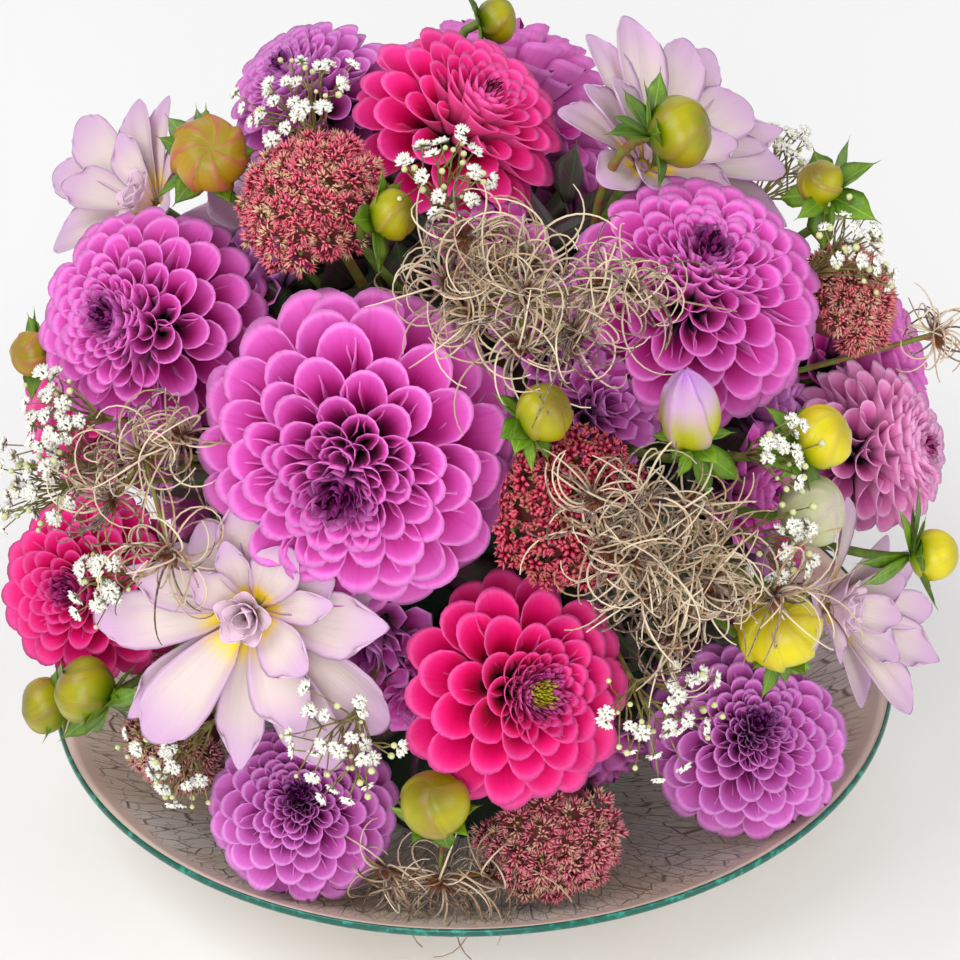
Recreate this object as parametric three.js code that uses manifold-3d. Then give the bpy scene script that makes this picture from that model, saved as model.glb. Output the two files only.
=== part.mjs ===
// A table centrepiece. Dahlias, stonecrop, baby's breath and clematis seed heads stand in a ball of
// wet floral foam, which sits in a shallow dish of crackled glass.
// Millimetres, +Z up. The origin is the middle of the dish's flat underside, and the show side is -Y.
import * as THREE from 'three';
import { mergeVertices } from 'three/addons/utils/BufferGeometryUtils.js';
import Module from 'manifold-3d';

const wasm = await Module();
wasm.setup();

// Driving dimensions
const rimRadius = 150;
const dishHeight = 45;
const glassThickness = 4.5;
const footRadius = 56;
const ballCentreHeight = 132;
const foamRadius = 84;
const foamHeight = 218;
const gap = 0.35;
const plantedFrom = 66;
const plantedTo = 96;
const bloomStemRadius = 2.2;
const stonecropStemRadius = 1.9;
const budStemRadius = 1.6;
const fineStemRadius = 1.4;
const thinSides = 3;

const ballCentre = new THREE.Vector3(0, 0, ballCentreHeight);
const goldenAngle = Math.PI * (3 - Math.sqrt(5));
const up = new THREE.Vector3(0, 0, 1);

// Planting plan. A place is a bearing round the ball (0 is the show side, 90 is +X), a height angle
// above the ball's middle, and a reach in mm from the ball's centre. Facing gives where a head looks.
// Blooms: name, kind, bearing, height, reach, radius, facing bearing, facing height, petals in a ring
// or outer whorl, and rings of petals
const bloomPlan = [
  ['orchid_ball_1', 'ball', -20, 32, 118, 53, -14, 6, 12, 5],
  ['orchid_ball_2', 'ball', 57, 45, 124, 43, 59, 66, 11, 4],
  ['orchid_ball_3', 'ball', -73, 35, 130, 40, -58, 21, 10, 4],
  ['orchid_ball_4', 'ball', 50, -29, 137, 35, 37, 52, 9, 4],
  ['orchid_ball_5', 'ball', -29, -30, 138, 32, 4, 58, 9, 4],
  ['orchid_ball_6', 'ball', -115, 68, 138, 30, -62, 56, 9, 3],
  ['orchid_ball_7', 'ball', 79, 6, 138, 32, 66, 20, 9, 3],
  ['orchid_ball_8', 'ball', 172, 43, 124, 46, 172, 46, 9, 4],
  ['orchid_ball_9', 'ball', 102, 7, 132, 41, 104, 12, 9, 4],
  ['orchid_ball_10', 'ball', 168, -30, 136, 40, 168, -6, 9, 4],
  ['orchid_ball_11', 'ball', 176, 5, 132, 42, 176, 10, 9, 4],
  ['orchid_ball_12', 'ball', -138, -25, 136, 40, -138, -2, 9, 4],
  ['magenta_bloom_1', 'formal', 0, 88, 130, 37, 60, 54, 10, 4],
  ['magenta_bloom_2', 'formal', 6, -3, 129, 39, 29, 27, 10, 4],
  ['magenta_bloom_3', 'formal', -75, -11, 136, 34, -52, 24, 9, 3],
  ['magenta_bloom_4', 'formal', 124, -26, 134, 38, 124, 0, 9, 3],
  ['magenta_bloom_5', 'formal', -108, 3, 132, 41, -108, 12, 9, 4],
  ['white_waterlily_1', 'waterlily', -41, 0, 124, 51, -34, 10, 8],
  ['white_waterlily_2', 'waterlily', 123, 50, 128, 50, 112, 52, 7],
  ['white_waterlily_3', 'waterlily', -111, 40, 132, 49, -108, 38, 6],
  ['white_waterlily_4', 'waterlily', 72, -15, 140, 40, 74, -4, 6],
  ['white_waterlily_5', 'waterlily', 139, 12, 132, 47, 139, 18, 6],
  ['white_waterlily_6', 'waterlily', -147, 14, 130, 47, -147, 20, 6],
];

// Buds: name, bearing, height, reach, radius, facing bearing, facing height, sepal length
const budPlan = [
  ['bud_1', -73, 58, 158, 13, 10, 40, 17],
  ['bud_2', -17, 62, 151, 8.5, 72, 22, 17],
  ['bud_3', 163, 71, 153, 8, 96, 6, 13],
  ['bud_4', 65, 61, 162, 12, 80, 12, 17],
  ['bud_5', 11, 36.5, 157, 9.5, 62, 40, 13],
  ['bud_6', 31, 32, 158, 12, -18, 74, 13],
  ['bud_7', 51, 23, 158, 10.5, 76, 34, 18],
  ['bud_8', 80, 44, 166, 8, -60, 60, 19],
  ['bud_9', 66, 0, 168, 9, 84, 6, 19],
  ['bud_10', 38, 4, 158, 14, 0, 66, 15],
  ['bud_11', -5, -12, 157, 11.5, -6, 70, 14],
  ['bud_12', -57, -12, 158, 11.5, -100, 30, 14],
  ['bud_13', -90, 18, 155, 8, -50, 26, 17],
  ['bud_14', 49, 14, 150, 12.5, 58, 24, 9],
  ['bud_15', -67, -19, 168, 10, -86, 8, 15],
];

// Stonecrop heads: name, bearing, height, reach, radius
const stonecropPlan = [
  ['stonecrop_1', -46, 63, 140, 24],
  ['stonecrop_2', 15, 24, 134, 25],
  ['stonecrop_3', 12, -34, 139, 24],
  ['stonecrop_4', -56, -29, 140, 18],
  ['stonecrop_5', 81, 29, 147, 18],
  ['stonecrop_6', 146, -31, 138, 25],
  ['stonecrop_7', -103, -30, 138, 27],
];

// Baby's breath: name, bearing, height, reach, spread, florets
const breathPlan = [
  ['babys_breath_1', -72, 70, 164, 19, 6],
  ['babys_breath_2', -5, 66, 161, 15, 5],
  ['babys_breath_3', 76, 36, 168, 17, 6],
  ['babys_breath_4', -61, 17, 166, 20, 6],
  ['babys_breath_5', -43, -18, 160, 15, 5],
  ['babys_breath_6', -15, -3, 165, 20, 6],
  ['babys_breath_7', 21, -1, 164, 21, 6],
  ['babys_breath_8', 122, 27, 162, 19, 6],
];

// Clematis seed heads: name, then bearing, height and reach of each seed head on the vine
const clematisPlan = [
  ['clematis_1', [[11, 50, 157], [1, 58, 156], [23, 49, 162]]],
  ['clematis_2', [[29, 14, 158], [19, 19, 160], [37, 9, 160]]],
  ['clematis_3', [[-46, 25, 156], [-38, 16, 158]]],
  ['clematis_4', [[80, 21, 170]]],
  ['clematis_5', [[-6, -34, 152]]],
];

// Stems that would run through another head are planted to one side: name, bearing, height.
const plantedAside = new Map([
  ['bud_5', [19, 38]],
  ['bud_8', [88, 46]],
  ['bud_12', [-60, -20]],
  ['babys_breath_3', [85, 39]],
  ['babys_breath_5', [-42, -28]],
  ['babys_breath_7', [26, -4]],
  ['babys_breath_8', [118, 28]],
  ['clematis_3', [-50, 23]],
]);

const colours = {
  glass: { color: 0xcfe3da, roughness: 0.08, metalness: 0 },
  foam: { color: 0x2f4a2a, roughness: 0.95, metalness: 0 },
  ball: { color: 0xc556c0, roughness: 0.5, metalness: 0 },
  formal: { color: 0xdc1a86, roughness: 0.5, metalness: 0 },
  waterlily: { color: 0xf0dcec, roughness: 0.5, metalness: 0 },
  bud: { color: 0xb4bd2c, roughness: 0.45, metalness: 0 },
  stonecrop: { color: 0xb24a62, roughness: 0.7, metalness: 0 },
  breath: { color: 0xf2f0e2, roughness: 0.7, metalness: 0 },
  clematis: { color: 0xb49c82, roughness: 0.8, metalness: 0 },
};

const radians = THREE.MathUtils.degToRad;

// The same run of numbers between 0 and 1 each time, for one head's small irregularities.
function seeded(seed) {
  let state = seed * 7919 + 17;
  return () => {
    state = (state * 16807) % 2147483647;
    return (state & 0xffff) / 0xffff;
  };
}

function direction(bearing, height) {
  const b = radians(bearing);
  const h = radians(height);
  return new THREE.Vector3(Math.sin(b) * Math.cos(h), -Math.cos(b) * Math.cos(h), Math.sin(h));
}

function place(bearing, height, reach) {
  return direction(bearing, height).multiplyScalar(reach).add(ballCentre);
}

function across(axis) {
  const side = Math.abs(axis.z) > 0.9 ? new THREE.Vector3(1, 0, 0) : up.clone();
  const a = new THREE.Vector3().crossVectors(side, axis).normalize();
  return [a, new THREE.Vector3().crossVectors(axis, a).normalize()];
}

// Geometry with only its positions, and one vertex for each corner.
function bare(geometry) {
  geometry.deleteAttribute('normal');
  geometry.deleteAttribute('uv');
  return mergeVertices(geometry, 1e-4);
}

function moveVertices(geometry, move) {
  const at = geometry.getAttribute('position');
  const v = new THREE.Vector3();
  for (let i = 0; i < at.count; i++) {
    const moved = move(v.fromBufferAttribute(at, i).clone());
    at.setXYZ(i, moved.x, moved.y, moved.z);
  }
  return geometry;
}

function solidFrom(points, corners) {
  return new wasm.Manifold(new wasm.Mesh({
    numProp: 3,
    vertProperties: new Float32Array(points),
    triVerts: new Uint32Array(corners),
  }));
}

// A solid from a closed geometry, with its faces turned to point outwards.
function toSolid(geometry) {
  const points = geometry.getAttribute('position').array;
  const corners = geometry.index.array.slice();
  const made = solidFrom(points, corners);
  if (made.volume() >= 0) return made;
  for (let i = 0; i < corners.length; i += 3) {
    [corners[i], corners[i + 1]] = [corners[i + 1], corners[i]];
  }
  return solidFrom(points, corners);
}

function toGeometry(solid) {
  const mesh = solid.getMesh();
  const n = mesh.numProp;
  const points = new Float32Array(mesh.numVert * 3);
  for (let i = 0; i < mesh.numVert; i++) {
    points.set(mesh.vertProperties.subarray(i * n, i * n + 3), i * 3);
  }
  return new THREE.BufferGeometry()
    .setAttribute('position', new THREE.BufferAttribute(points, 3))
    .setIndex(new THREE.BufferAttribute(new Uint32Array(mesh.triVerts), 1));
}

function joined(solids) {
  return solids.reduce((all, one) => all.add(one));
}

// The largest body of a solid, without its sealed hollows. A scrap that a cut left loose is dropped.
function largestBody(solid) {
  const bodies = solid.decompose();
  return bodies.reduce((best, one) => (one.volume() > best.volume() ? one : best));
}

// A round rod through the points, thinning from the first radius to the last, closed at both ends.
function rod(points, fromRadius, toRadius, sides) {
  const last = points.length - 1;
  const rings = [];
  let [side] = across(points[1].clone().sub(points[0]).normalize());
  points.forEach((p, i) => {
    const before = points[Math.max(i - 1, 0)];
    const ahead = points[Math.min(i + 1, last)].clone().sub(before).normalize();
    side = side.clone().addScaledVector(ahead, -side.dot(ahead)).normalize();
    rings.push([side, new THREE.Vector3().crossVectors(ahead, side)]);
  });
  return moveVertices(bare(new THREE.CylinderGeometry(1, 1, 1, sides, last)), (v) => {
    const i = Math.round((0.5 - v.y) * last);
    const r = fromRadius + (toRadius - fromRadius) * (i / last);
    const [a, b] = rings[i];
    return points[i].clone().addScaledVector(a, v.x * r).addScaledVector(b, v.z * r);
  });
}

// A whorl of pointed blades round a middle, each with a notch, a side, a tip and a side on its edge.
// It is thickest in the middle, and every blade is creased along its length.
function whorlOf(count, edgePoint, middle, thickness) {
  const section = [new THREE.Vector2(0, -1), new THREE.Vector2(1, 0), new THREE.Vector2(0, 1)];
  const points = count * 4;
  return moveVertices(bare(new THREE.LatheGeometry(section, points)), (v) => {
    if (Math.abs(v.y) > 0.5) return middle.clone().setZ(middle.z + (v.y * thickness) / 2);
    const k = Math.round((Math.atan2(-v.z, v.x) / (2 * Math.PI)) * points + points) % points;
    return edgePoint(Math.floor(k / 4), k % 4);
  });
}

// What each node has to stay clear of: rods and balls already placed, owned by their node.
const keepOuts = [];

function keepOutRod(owner, a, b, radius) {
  keepOuts.push({ owner, a: a.clone(), b: b.clone(), radius });
}

function keepOutBall(owner, centre, radius) {
  keepOutRod(owner, centre, centre, radius);
}

function distanceTo(keepOut, p) {
  const ab = keepOut.b.clone().sub(keepOut.a);
  const along = p.clone().sub(keepOut.a).dot(ab) / Math.max(ab.lengthSq(), 1e-9);
  const nearest = keepOut.a.clone().addScaledVector(ab, THREE.MathUtils.clamp(along, 0, 1));
  return p.distanceTo(nearest) - keepOut.radius;
}

function nearKeepOuts(owner, centre, radius) {
  return keepOuts.filter((k) => k.owner !== owner && distanceTo(k, centre) < radius);
}

// The dish's inner wall: a flat floor, then a curve that steepens to the rim.
const wallStartSlope = 0.62;

function innerWallHeight(r) {
  const t = THREE.MathUtils.clamp((r - footRadius) / (rimRadius - footRadius), 0, 1);
  const rise = wallStartSlope * t + (1 - wallStartSlope) * t * t;
  return glassThickness + (dishHeight - glassThickness) * rise;
}

const rimMargin = 4;
const dishMargin = 1;

function clearOfDish(p, margin) {
  const r = Math.hypot(p.x, p.y);
  return r > rimRadius + rimMargin + margin || p.z > innerWallHeight(r) + dishMargin + margin;
}

function isClear(p, margin, near) {
  return clearOfDish(p, margin) && near.every((k) => distanceTo(k, p) > margin);
}

// Round heads that press on each other are parted by planes, kept here by their heads.
const roundHeads = [];

function partingPlanes({ name, centre, radius }) {
  const touching = roundHeads.filter((head) => {
    return head.name !== name && head.centre.distanceTo(centre) < radius + head.radius + gap;
  });
  return touching.map((head) => {
    const normal = head.centre.clone().sub(centre);
    const far = normal.length();
    const at = (far * far + radius * radius - head.radius * head.radius) / (2 * far) - gap;
    return { normal: normal.normalize(), at };
  });
}

// What a head's points are kept inside: its parting planes, the dish, and the stems and small heads.
function clearanceOf(head) {
  const planes = partingPlanes(head);
  const near = nearKeepOuts(head.name, head.centre, head.radius * 1.3 + 3);
  return (p, margin) => {
    const world = p.clone().applyMatrix4(head.matrix);
    const out = world.clone().sub(head.centre);
    return planes.every((plane) => out.dot(plane.normal) < plane.at) && isClear(world, margin, near);
  };
}

// A point drawn in towards the middle of its head until it is clear.
const drawnInBy = 0.94;
const mostDraws = 16;

function drawnIn(p, fits, margin) {
  for (let i = 0; i < mostDraws && !fits(p, margin); i++) p.multiplyScalar(drawnInBy);
  return p;
}

// A stem's line: straight and radial where it stands in the foam, then bending to its head's back.
const bendShare = 0.3;
const straightWithin = 0.1;

function stemLine(bearing, height, end, endAxis) {
  const radial = direction(bearing, height);
  const start = ballCentre.clone().addScaledVector(radial, plantedFrom);
  const toHead = end.clone().sub(ballCentre);
  if (Math.max(radial.angleTo(endAxis), radial.angleTo(toHead)) < straightWithin) return [start, end];
  const out = ballCentre.clone().addScaledVector(radial, plantedTo);
  const back = end.clone().addScaledVector(endAxis, -bendShare * end.distanceTo(out));
  return [start, out, new THREE.QuadraticBezierCurve3(out, back, end).getPoint(0.5), end];
}

const stems = [];

function plantStem({ name, bearing, height, axis }, end, radius) {
  const line = stemLine(...(plantedAside.get(name) ?? [bearing, height]), end, axis);
  for (let i = 0; i + 1 < line.length; i++) keepOutRod(name, line[i], line[i + 1], radius * 1.1);
  stems.push({ line, radius });
  return toSolid(rod(line, radius, radius * 0.9, thinSides));
}

const parts = new Map();

function addPart(name, kind, solid) {
  parts.set(name, { kind, solid: largestBody(solid) });
}

// A head's place, where it looks, and the way from its own frame, whose +Z looks out of the head.
function headAt(name, [bearing, height, reach], facing, radius) {
  const centre = place(bearing, height, reach);
  const axis = direction(...facing);
  const turn = new THREE.Quaternion().setFromUnitVectors(up, axis);
  const matrix = new THREE.Matrix4().compose(centre, turn, new THREE.Vector3(1, 1, 1));
  return { name, bearing, height, reach, centre, axis, matrix, radius };
}

// In a head's own frame: a way out from its +Z axis, by an angle from the axis and a turn round it.
function wayOut(angle, turn) {
  const flat = Math.sin(angle);
  return new THREE.Vector3(Math.cos(turn) * flat, Math.sin(turn) * flat, Math.cos(angle));
}

// A petal's way out, its sideways axis and its upper side, in its head's own frame.
function petalAxes(turn, lift) {
  const along = wayOut(Math.PI / 2 - lift, turn);
  const side = new THREE.Vector3(-Math.sin(turn), Math.cos(turn), 0);
  return [along, side, new THREE.Vector3().crossVectors(along, side)];
}

function revolved(profile, sides) {
  const points = profile.map(([r, z]) => new THREE.Vector2(r, z));
  return bare(new THREE.LatheGeometry(points, sides)).rotateX(Math.PI / 2);
}

// The glass dish, one turned piece with a flat foot and a cut rim.
const dishSides = 48;
const wallSteps = 3;
const wallLean = 1.6;

function makeDish() {
  const inside = [[0, glassThickness], [footRadius - wallLean, glassThickness]];
  const outside = [[0, 0], [footRadius, 0]];
  for (let i = 1; i <= wallSteps; i++) {
    const r = footRadius + ((rimRadius - footRadius) * i) / wallSteps;
    inside.push([r - wallLean / 2, innerWallHeight(r)]);
    outside.push([r + wallLean, innerWallHeight(r) - glassThickness]);
  }
  return toSolid(revolved([...outside, ...inside.reverse()], dishSides));
}

// The foam: a ball cut flat where it stands on the dish floor, with a plain hole for each stem.
const foamSides = 12;

function makeFoam() {
  const floor = glassThickness + gap;
  const profile = [[0, floor], [50, floor], [66, 44], [foamRadius, 122], [70, 182], [0, foamHeight]];
  return stems.reduce((foam, { line: [start, out], radius }) => {
    const inner = start.clone().addScaledVector(out.clone().sub(start).normalize(), -gap);
    const holeRadius = radius + gap / Math.cos(Math.PI / thinSides);
    return foam.subtract(toSolid(rod([inner, out], holeRadius, holeRadius, thinSides)));
  }, toSolid(revolved(profile, foamSides)));
}

// The ring and place in its ring of a vertex of a sphere turned to have its poles on Z.
function gridPlace(v, columns, rows) {
  const row = Math.round((Math.acos(THREE.MathUtils.clamp(v.z, -1, 1)) / Math.PI) * rows);
  const column = Math.round((Math.atan2(v.y, v.x) / (2 * Math.PI)) * columns + columns);
  return [row, column];
}

const petalForms = {
  ball: { depth: 0.76, backAngle: radians(122), throat: 0.34, wall: 0.1, corner: 0.15 },
  formal: { depth: 0.56, backAngle: radians(106), throat: 0.32, wall: 0.12, corner: 0.2 },
};
const ringSpread = 0.8;
const lipLean = 0.42;
const eyeThroat = 0.4;
const underShare = 0.5;
const petalMargin = 1.6;

// A ball or formal dahlia: rings of hollow petals, each ring set half a petal round from the last.
// A petal is two columns by two rows: a throat in the middle and a lip that leans back behind it.
function quilledHead(head, petals, rings, form, fits) {
  const columns = 2 * petals;
  const lastRow = 2 * rings;
  const rows = lastRow + 1;
  const ball = bare(new THREE.SphereGeometry(1, columns, rows)).rotateX(Math.PI / 2);
  return moveVertices(ball, (v) => {
    const [row, column] = gridPlace(v, columns, rows);
    const onPetal = (column + Math.ceil(row / 2)) % 2 === 0;
    const isLip = onPetal && row % 2 === 0;
    const open = Math.min(1, 0.45 + (0.7 * row) / lastRow);
    const along = (row + (isLip ? lipLean : 0)) / (lastRow + lipLean);
    const angle = row === rows ? Math.PI : form.backAngle * along ** ringSpread;
    let share = 1;
    if (row === rows) share = underShare;
    else if (row === 0) share -= form.throat * eyeThroat;
    else if (row % 2 === 1) share -= (onPetal ? form.throat : form.wall) * open;
    else if (!onPetal) share -= form.corner * open;
    const fullness = Math.sin(Math.min(angle, Math.PI / 2)) ** 2;
    const size = head.radius * (form.depth + (1 - form.depth) * fullness) * share;
    return drawnIn(wayOut(angle, Math.atan2(v.y, v.x)).multiplyScalar(size), fits, petalMargin);
  });
}

// A waterlily dahlia: whorls of long open petals round a small closed middle.
const waterlilyWhorls = [
  { share: 1, lift: 4, length: 1, turn: 0.3, height: 0 },
  { share: 0.85, lift: 28, length: 0.86, turn: 0.75, height: 0.04 },
  { share: 0.5, lift: 56, length: 0.52, turn: 0.25, height: 0.09 },
];
const notchShare = 0.2;
const widestShare = 0.62;
const petalCover = 1.12;
const petalDish = 0.07;
const petalRootThickness = 0.11;
const openMargin = 1.1;
const petalSizes = [1, 0.93, 0.86, 0.78, 0.7, 0.61, 0.52, 0.43, 0.34];
const smallestPetal = 0.28;

function midpoints(list) {
  return list.map((p, i) => p.clone().lerp(list[(i + 1) % list.length], 0.5));
}

// An open petal's edge: a side, the tip and the other side, at the largest size that clears all else.
function openPetal(turn, lift, length, half, base, fits) {
  const [along, side, normal] = petalAxes(turn, lift);
  const at = (size, share, sideways, raised) => base.clone()
    .addScaledVector(along, length * share * size)
    .addScaledVector(side, half * sideways * size)
    .addScaledVector(normal, length * raised * size);
  const edge = (size) => [
    at(size, widestShare, -1, petalDish),
    at(size, 1, 0, 0),
    at(size, widestShare, 1, petalDish),
  ];
  const fitting = petalSizes.find((size) => {
    const shoulders = [at(size, 0.85, 0.6, 0.05), at(size, 0.85, -0.6, 0.05)];
    return [...edge(size), ...midpoints(edge(size)), ...shoulders].every((p) => fits(p, openMargin));
  });
  return edge(fitting ?? smallestPetal);
}

function openWhorl(head, count, whorl, random, fits) {
  const base = new THREE.Vector3(0, 0, whorl.height * head.radius);
  const length = head.radius * whorl.length;
  const half = (length * widestShare * petalCover * Math.PI) / count / (1 + whorl.lift / 60);
  const turns = Array.from({ length: count }, (_, i) => {
    return ((i + whorl.turn) / count) * 2 * Math.PI + (random() - 0.5) * 0.14;
  });
  const edges = turns.map((turn) => {
    return openPetal(turn, radians(whorl.lift + (random() - 0.5) * 9), length, half, base, fits);
  });
  const notch = (i) => {
    const before = turns[(i + count - 1) % count] - (i === 0 ? 2 * Math.PI : 0);
    const along = petalAxes((before + turns[i]) / 2, radians(whorl.lift))[0];
    return along.multiplyScalar(notchShare * length).add(base);
  };
  const edgePoint = (i, k) => (k === 0 ? notch(i) : edges[i][k - 1].clone());
  const middle = base.clone().setZ(base.z + 0.02 * head.radius);
  return whorlOf(count, edgePoint, middle, petalRootThickness * head.radius);
}

function openHead(head, petals, fits) {
  const random = seeded(head.radius + petals);
  return waterlilyWhorls.map((whorl) => {
    return openWhorl(head, Math.round(petals * whorl.share), whorl, random, fits);
  });
}

function makeBloom({ head, kind, petals, rings, stem }) {
  const fits = clearanceOf(head);
  const pieces = kind === 'waterlily'
    ? openHead(head, petals, fits)
    : [quilledHead(head, petals, rings, petalForms[kind], fits)];
  const solids = pieces.map((piece) => toSolid(piece.applyMatrix4(head.matrix)));
  addPart(head.name, kind, joined([stem, ...solids]));
}

// A dahlia bud: a closed round body over a ring of turned-back sepals, on its own stem.
const budProfile = [[0, -0.95], [0.8, -0.5], [0.96, 0.28], [0, 0.85]];
const budSides = 6;
const sepalCount = 5;
const sepalRootThickness = 2.4;
const sepalHalfWidth = 0.2;
const sepalFoot = 0.3;

function makeSepals(head, length) {
  const random = seeded(Math.round(head.reach + head.radius * 10 + head.bearing));
  const base = new THREE.Vector3(0, 0, -0.9 * head.radius);
  const foot = sepalFoot * head.radius;
  const half = length * sepalHalfWidth;
  const sepals = Array.from({ length: sepalCount }, (_, i) => {
    const turn = ((i + 0.2 + random() * 0.25) / sepalCount) * 2 * Math.PI;
    const [along, side] = petalAxes(turn, radians(-4 + random() * 26));
    const at = (share, sideways) => base.clone()
      .addScaledVector(along, foot + length * share)
      .addScaledVector(side, sideways * half);
    const [root, tip] = [at(0, 0), at(1, 0)].map((p) => p.applyMatrix4(head.matrix));
    keepOutRod(head.name, root, tip, half * 0.8);
    const notch = petalAxes(turn - Math.PI / sepalCount, 0)[0].multiplyScalar(foot).add(base);
    return [notch, at(0.5, -1), at(1, 0), at(0.5, 1)];
  });
  return whorlOf(sepalCount, (i, k) => sepals[i][k].clone(), base, sepalRootThickness);
}

function makeBud([name, bearing, height, reach, radius, faceBearing, faceHeight, sepalLength]) {
  const head = headAt(name, [bearing, height, reach], [faceBearing, faceHeight], radius);
  const body = revolved(budProfile.map(([r, z]) => [r * radius, z * radius]), budSides);
  const pieces = [body, makeSepals(head, sepalLength)];
  keepOutBall(name, head.centre, radius * 1.02);
  const end = head.centre.clone().addScaledVector(head.axis, -0.6 * radius);
  const solids = pieces.map((piece) => toSolid(piece.applyMatrix4(head.matrix)));
  addPart(name, 'bud', joined([plantStem(head, end, budStemRadius), ...solids]));
}

// A stonecrop head: a flat dome whose surface rises into pointed florets, on a stem.
const domeTurns = 12;
const domeRows = 6;
const domeFlatness = 0.72;
const domeMargin = 2.2;

function makeStonecrop({ head, stem }) {
  const fits = clearanceOf(head);
  const ball = bare(new THREE.SphereGeometry(1, domeTurns, domeRows)).rotateX(Math.PI / 2);
  const dome = moveVertices(ball, (v) => {
    const [row, column] = gridPlace(v, domeTurns, domeRows);
    const isUnder = v.z < -0.3;
    const isFloret = (row + column) % 2 === 0 && !isUnder;
    const size = head.radius * (isFloret ? 1.04 : 0.8) * (isUnder ? 0.7 : 1);
    const p = new THREE.Vector3(v.x, v.y, v.z * domeFlatness).multiplyScalar(size);
    return drawnIn(p, fits, domeMargin);
  });
  addPart(head.name, 'stonecrop', joined([stem, toSolid(dome.applyMatrix4(head.matrix))]));
}

// A spray of baby's breath: fine branches fan out from one stem, and each ends in a round floret.
const floretRadius = 3.4;
const floretSides = 4;
const branchRadius = 0.6;
const forkDepth = 20;
const rootStagger = 9;

function branchWithFloret(root, tip) {
  const length = root.distanceTo(tip);
  const neck = length - 0.8 * floretRadius;
  const profile = [[0, 0], [branchRadius, 0], [branchRadius, neck], [floretRadius, length]];
  const along = tip.clone().sub(root).normalize();
  const turn = new THREE.Quaternion().setFromUnitVectors(up, along);
  const toPlace = new THREE.Matrix4().compose(root, turn, new THREE.Vector3(1, 1, 1));
  return toSolid(revolved([...profile, [0, length + floretRadius]], floretSides).applyMatrix4(toPlace));
}

function makeBreath([name, bearing, height, reach, spread, florets]) {
  const spray = headAt(name, [bearing, height, reach], [bearing, height], spread);
  const [a, b] = across(spray.axis);
  const fork = spray.centre.clone().addScaledVector(spray.axis, -forkDepth);
  const random = seeded(Math.round(reach * 3 + bearing + florets));
  const solids = [plantStem(spray, fork, fineStemRadius)];
  for (let i = 0; i < florets; i++) {
    const turn = i * goldenAngle + random() * 0.5;
    const out = spread * Math.sqrt((i + 0.3) / florets);
    const rise = 3 * (random() - 0.5) - (out * out) / (2.4 * reach);
    const tip = spray.centre.clone().addScaledVector(spray.axis, rise)
      .addScaledVector(a, Math.cos(turn) * out)
      .addScaledVector(b, Math.sin(turn) * out);
    const root = fork.clone().addScaledVector(spray.axis, -0.6 - rootStagger * (i / florets));
    solids.push(branchWithFloret(root, tip));
    keepOutRod(name, root, tip, branchRadius + 0.2);
    keepOutBall(name, tip, floretRadius);
  }
  addPart(name, 'breath', joined(solids));
}

// Clematis seed heads: each is a small knot of seeds with long plumes that curl back on themselves.
const plumeCount = 5;
const plumeCurl = 2.5;
const plumeSteps = 3;
const plumeRadius = 0.55;
const plumeTipRadius = 0.42;
const plumeTries = 12;
const knotRadius = 2.6;
const vineRadius = 0.8;
const vineStemRadius = 1.2;
const plumeReach = 26;

// A plume's line: it leaves the knot and curls on an arc towards one side.
function plumeLine(knot, out, curlTo, length) {
  const arc = length / plumeCurl;
  return Array.from({ length: plumeSteps + 1 }, (_, i) => {
    const t = (i / plumeSteps) * plumeCurl;
    return knot.clone()
      .addScaledVector(out, Math.sin(t) * arc + 1.5)
      .addScaledVector(curlTo, (1 - Math.cos(t)) * arc);
  });
}

function randomPlume(knot, outward, share, random) {
  const [u, w] = across(outward);
  const turn = (share + (random() * 0.6) / plumeCount) * 2 * Math.PI;
  const lean = 0.1 + random() * 0.75;
  const flat = u.clone().multiplyScalar(Math.cos(turn)).addScaledVector(w, Math.sin(turn));
  const sideways = w.clone().multiplyScalar(Math.cos(turn)).addScaledVector(u, -Math.sin(turn));
  const out = flat.multiplyScalar(Math.cos(lean)).addScaledVector(outward, Math.sin(lean));
  const hand = random() < 0.5 ? 1 : -1;
  const curlTo = sideways.multiplyScalar(hand).addScaledVector(outward, random() * 0.8 - 0.1);
  return plumeLine(knot, out.normalize(), curlTo.normalize(), 16 + random() * 9);
}

// The plumes of one knot, each the first of a few tries that clears everything.
function makePlumes(name, knot, outward, random) {
  const near = nearKeepOuts(name, knot, plumeReach);
  const own = [];
  const solids = [];
  for (let i = 0; i < plumeCount; i++) {
    for (let attempt = 0; attempt < plumeTries; attempt++) {
      const line = randomPlume(knot, outward, i / plumeCount, random);
      const tries = line.slice(1).flatMap((p, k) => [p, p.clone().lerp(line[k], 0.5)]);
      if (!tries.every((p) => isClear(p, 1, [...near, ...own]))) continue;
      solids.push(toSolid(rod(line, plumeRadius, plumeTipRadius, thinSides)));
      line.slice(1).forEach((p, k) => own.push({ owner: name, a: line[k], b: p, radius: 0.6 }));
      break;
    }
  }
  keepOuts.push(...own);
  return solids;
}

function makeClematis([name, knots], order) {
  const random = seeded(order * 31 + 5);
  const root = headAt(name, knots[0], knots[0], knotRadius);
  const solids = [plantStem(root, root.centre, vineStemRadius)];
  for (const [bearing, height, reach] of knots) {
    const knot = place(bearing, height, reach);
    const ball = bare(new THREE.OctahedronGeometry(knotRadius, 0)).translate(knot.x, knot.y, knot.z);
    solids.push(toSolid(ball));
    if (knot.distanceTo(root.centre) > knotRadius) {
      solids.push(toSolid(rod([root.centre, knot], vineRadius, vineRadius, thinSides)));
      keepOutRod(name, root.centre, knot, vineRadius + 0.1);
    }
    keepOutBall(name, knot, knotRadius);
    solids.push(...makePlumes(name, knot, direction(bearing, height), random));
  }
  addPart(name, 'clematis', joined(solids));
}

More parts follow.
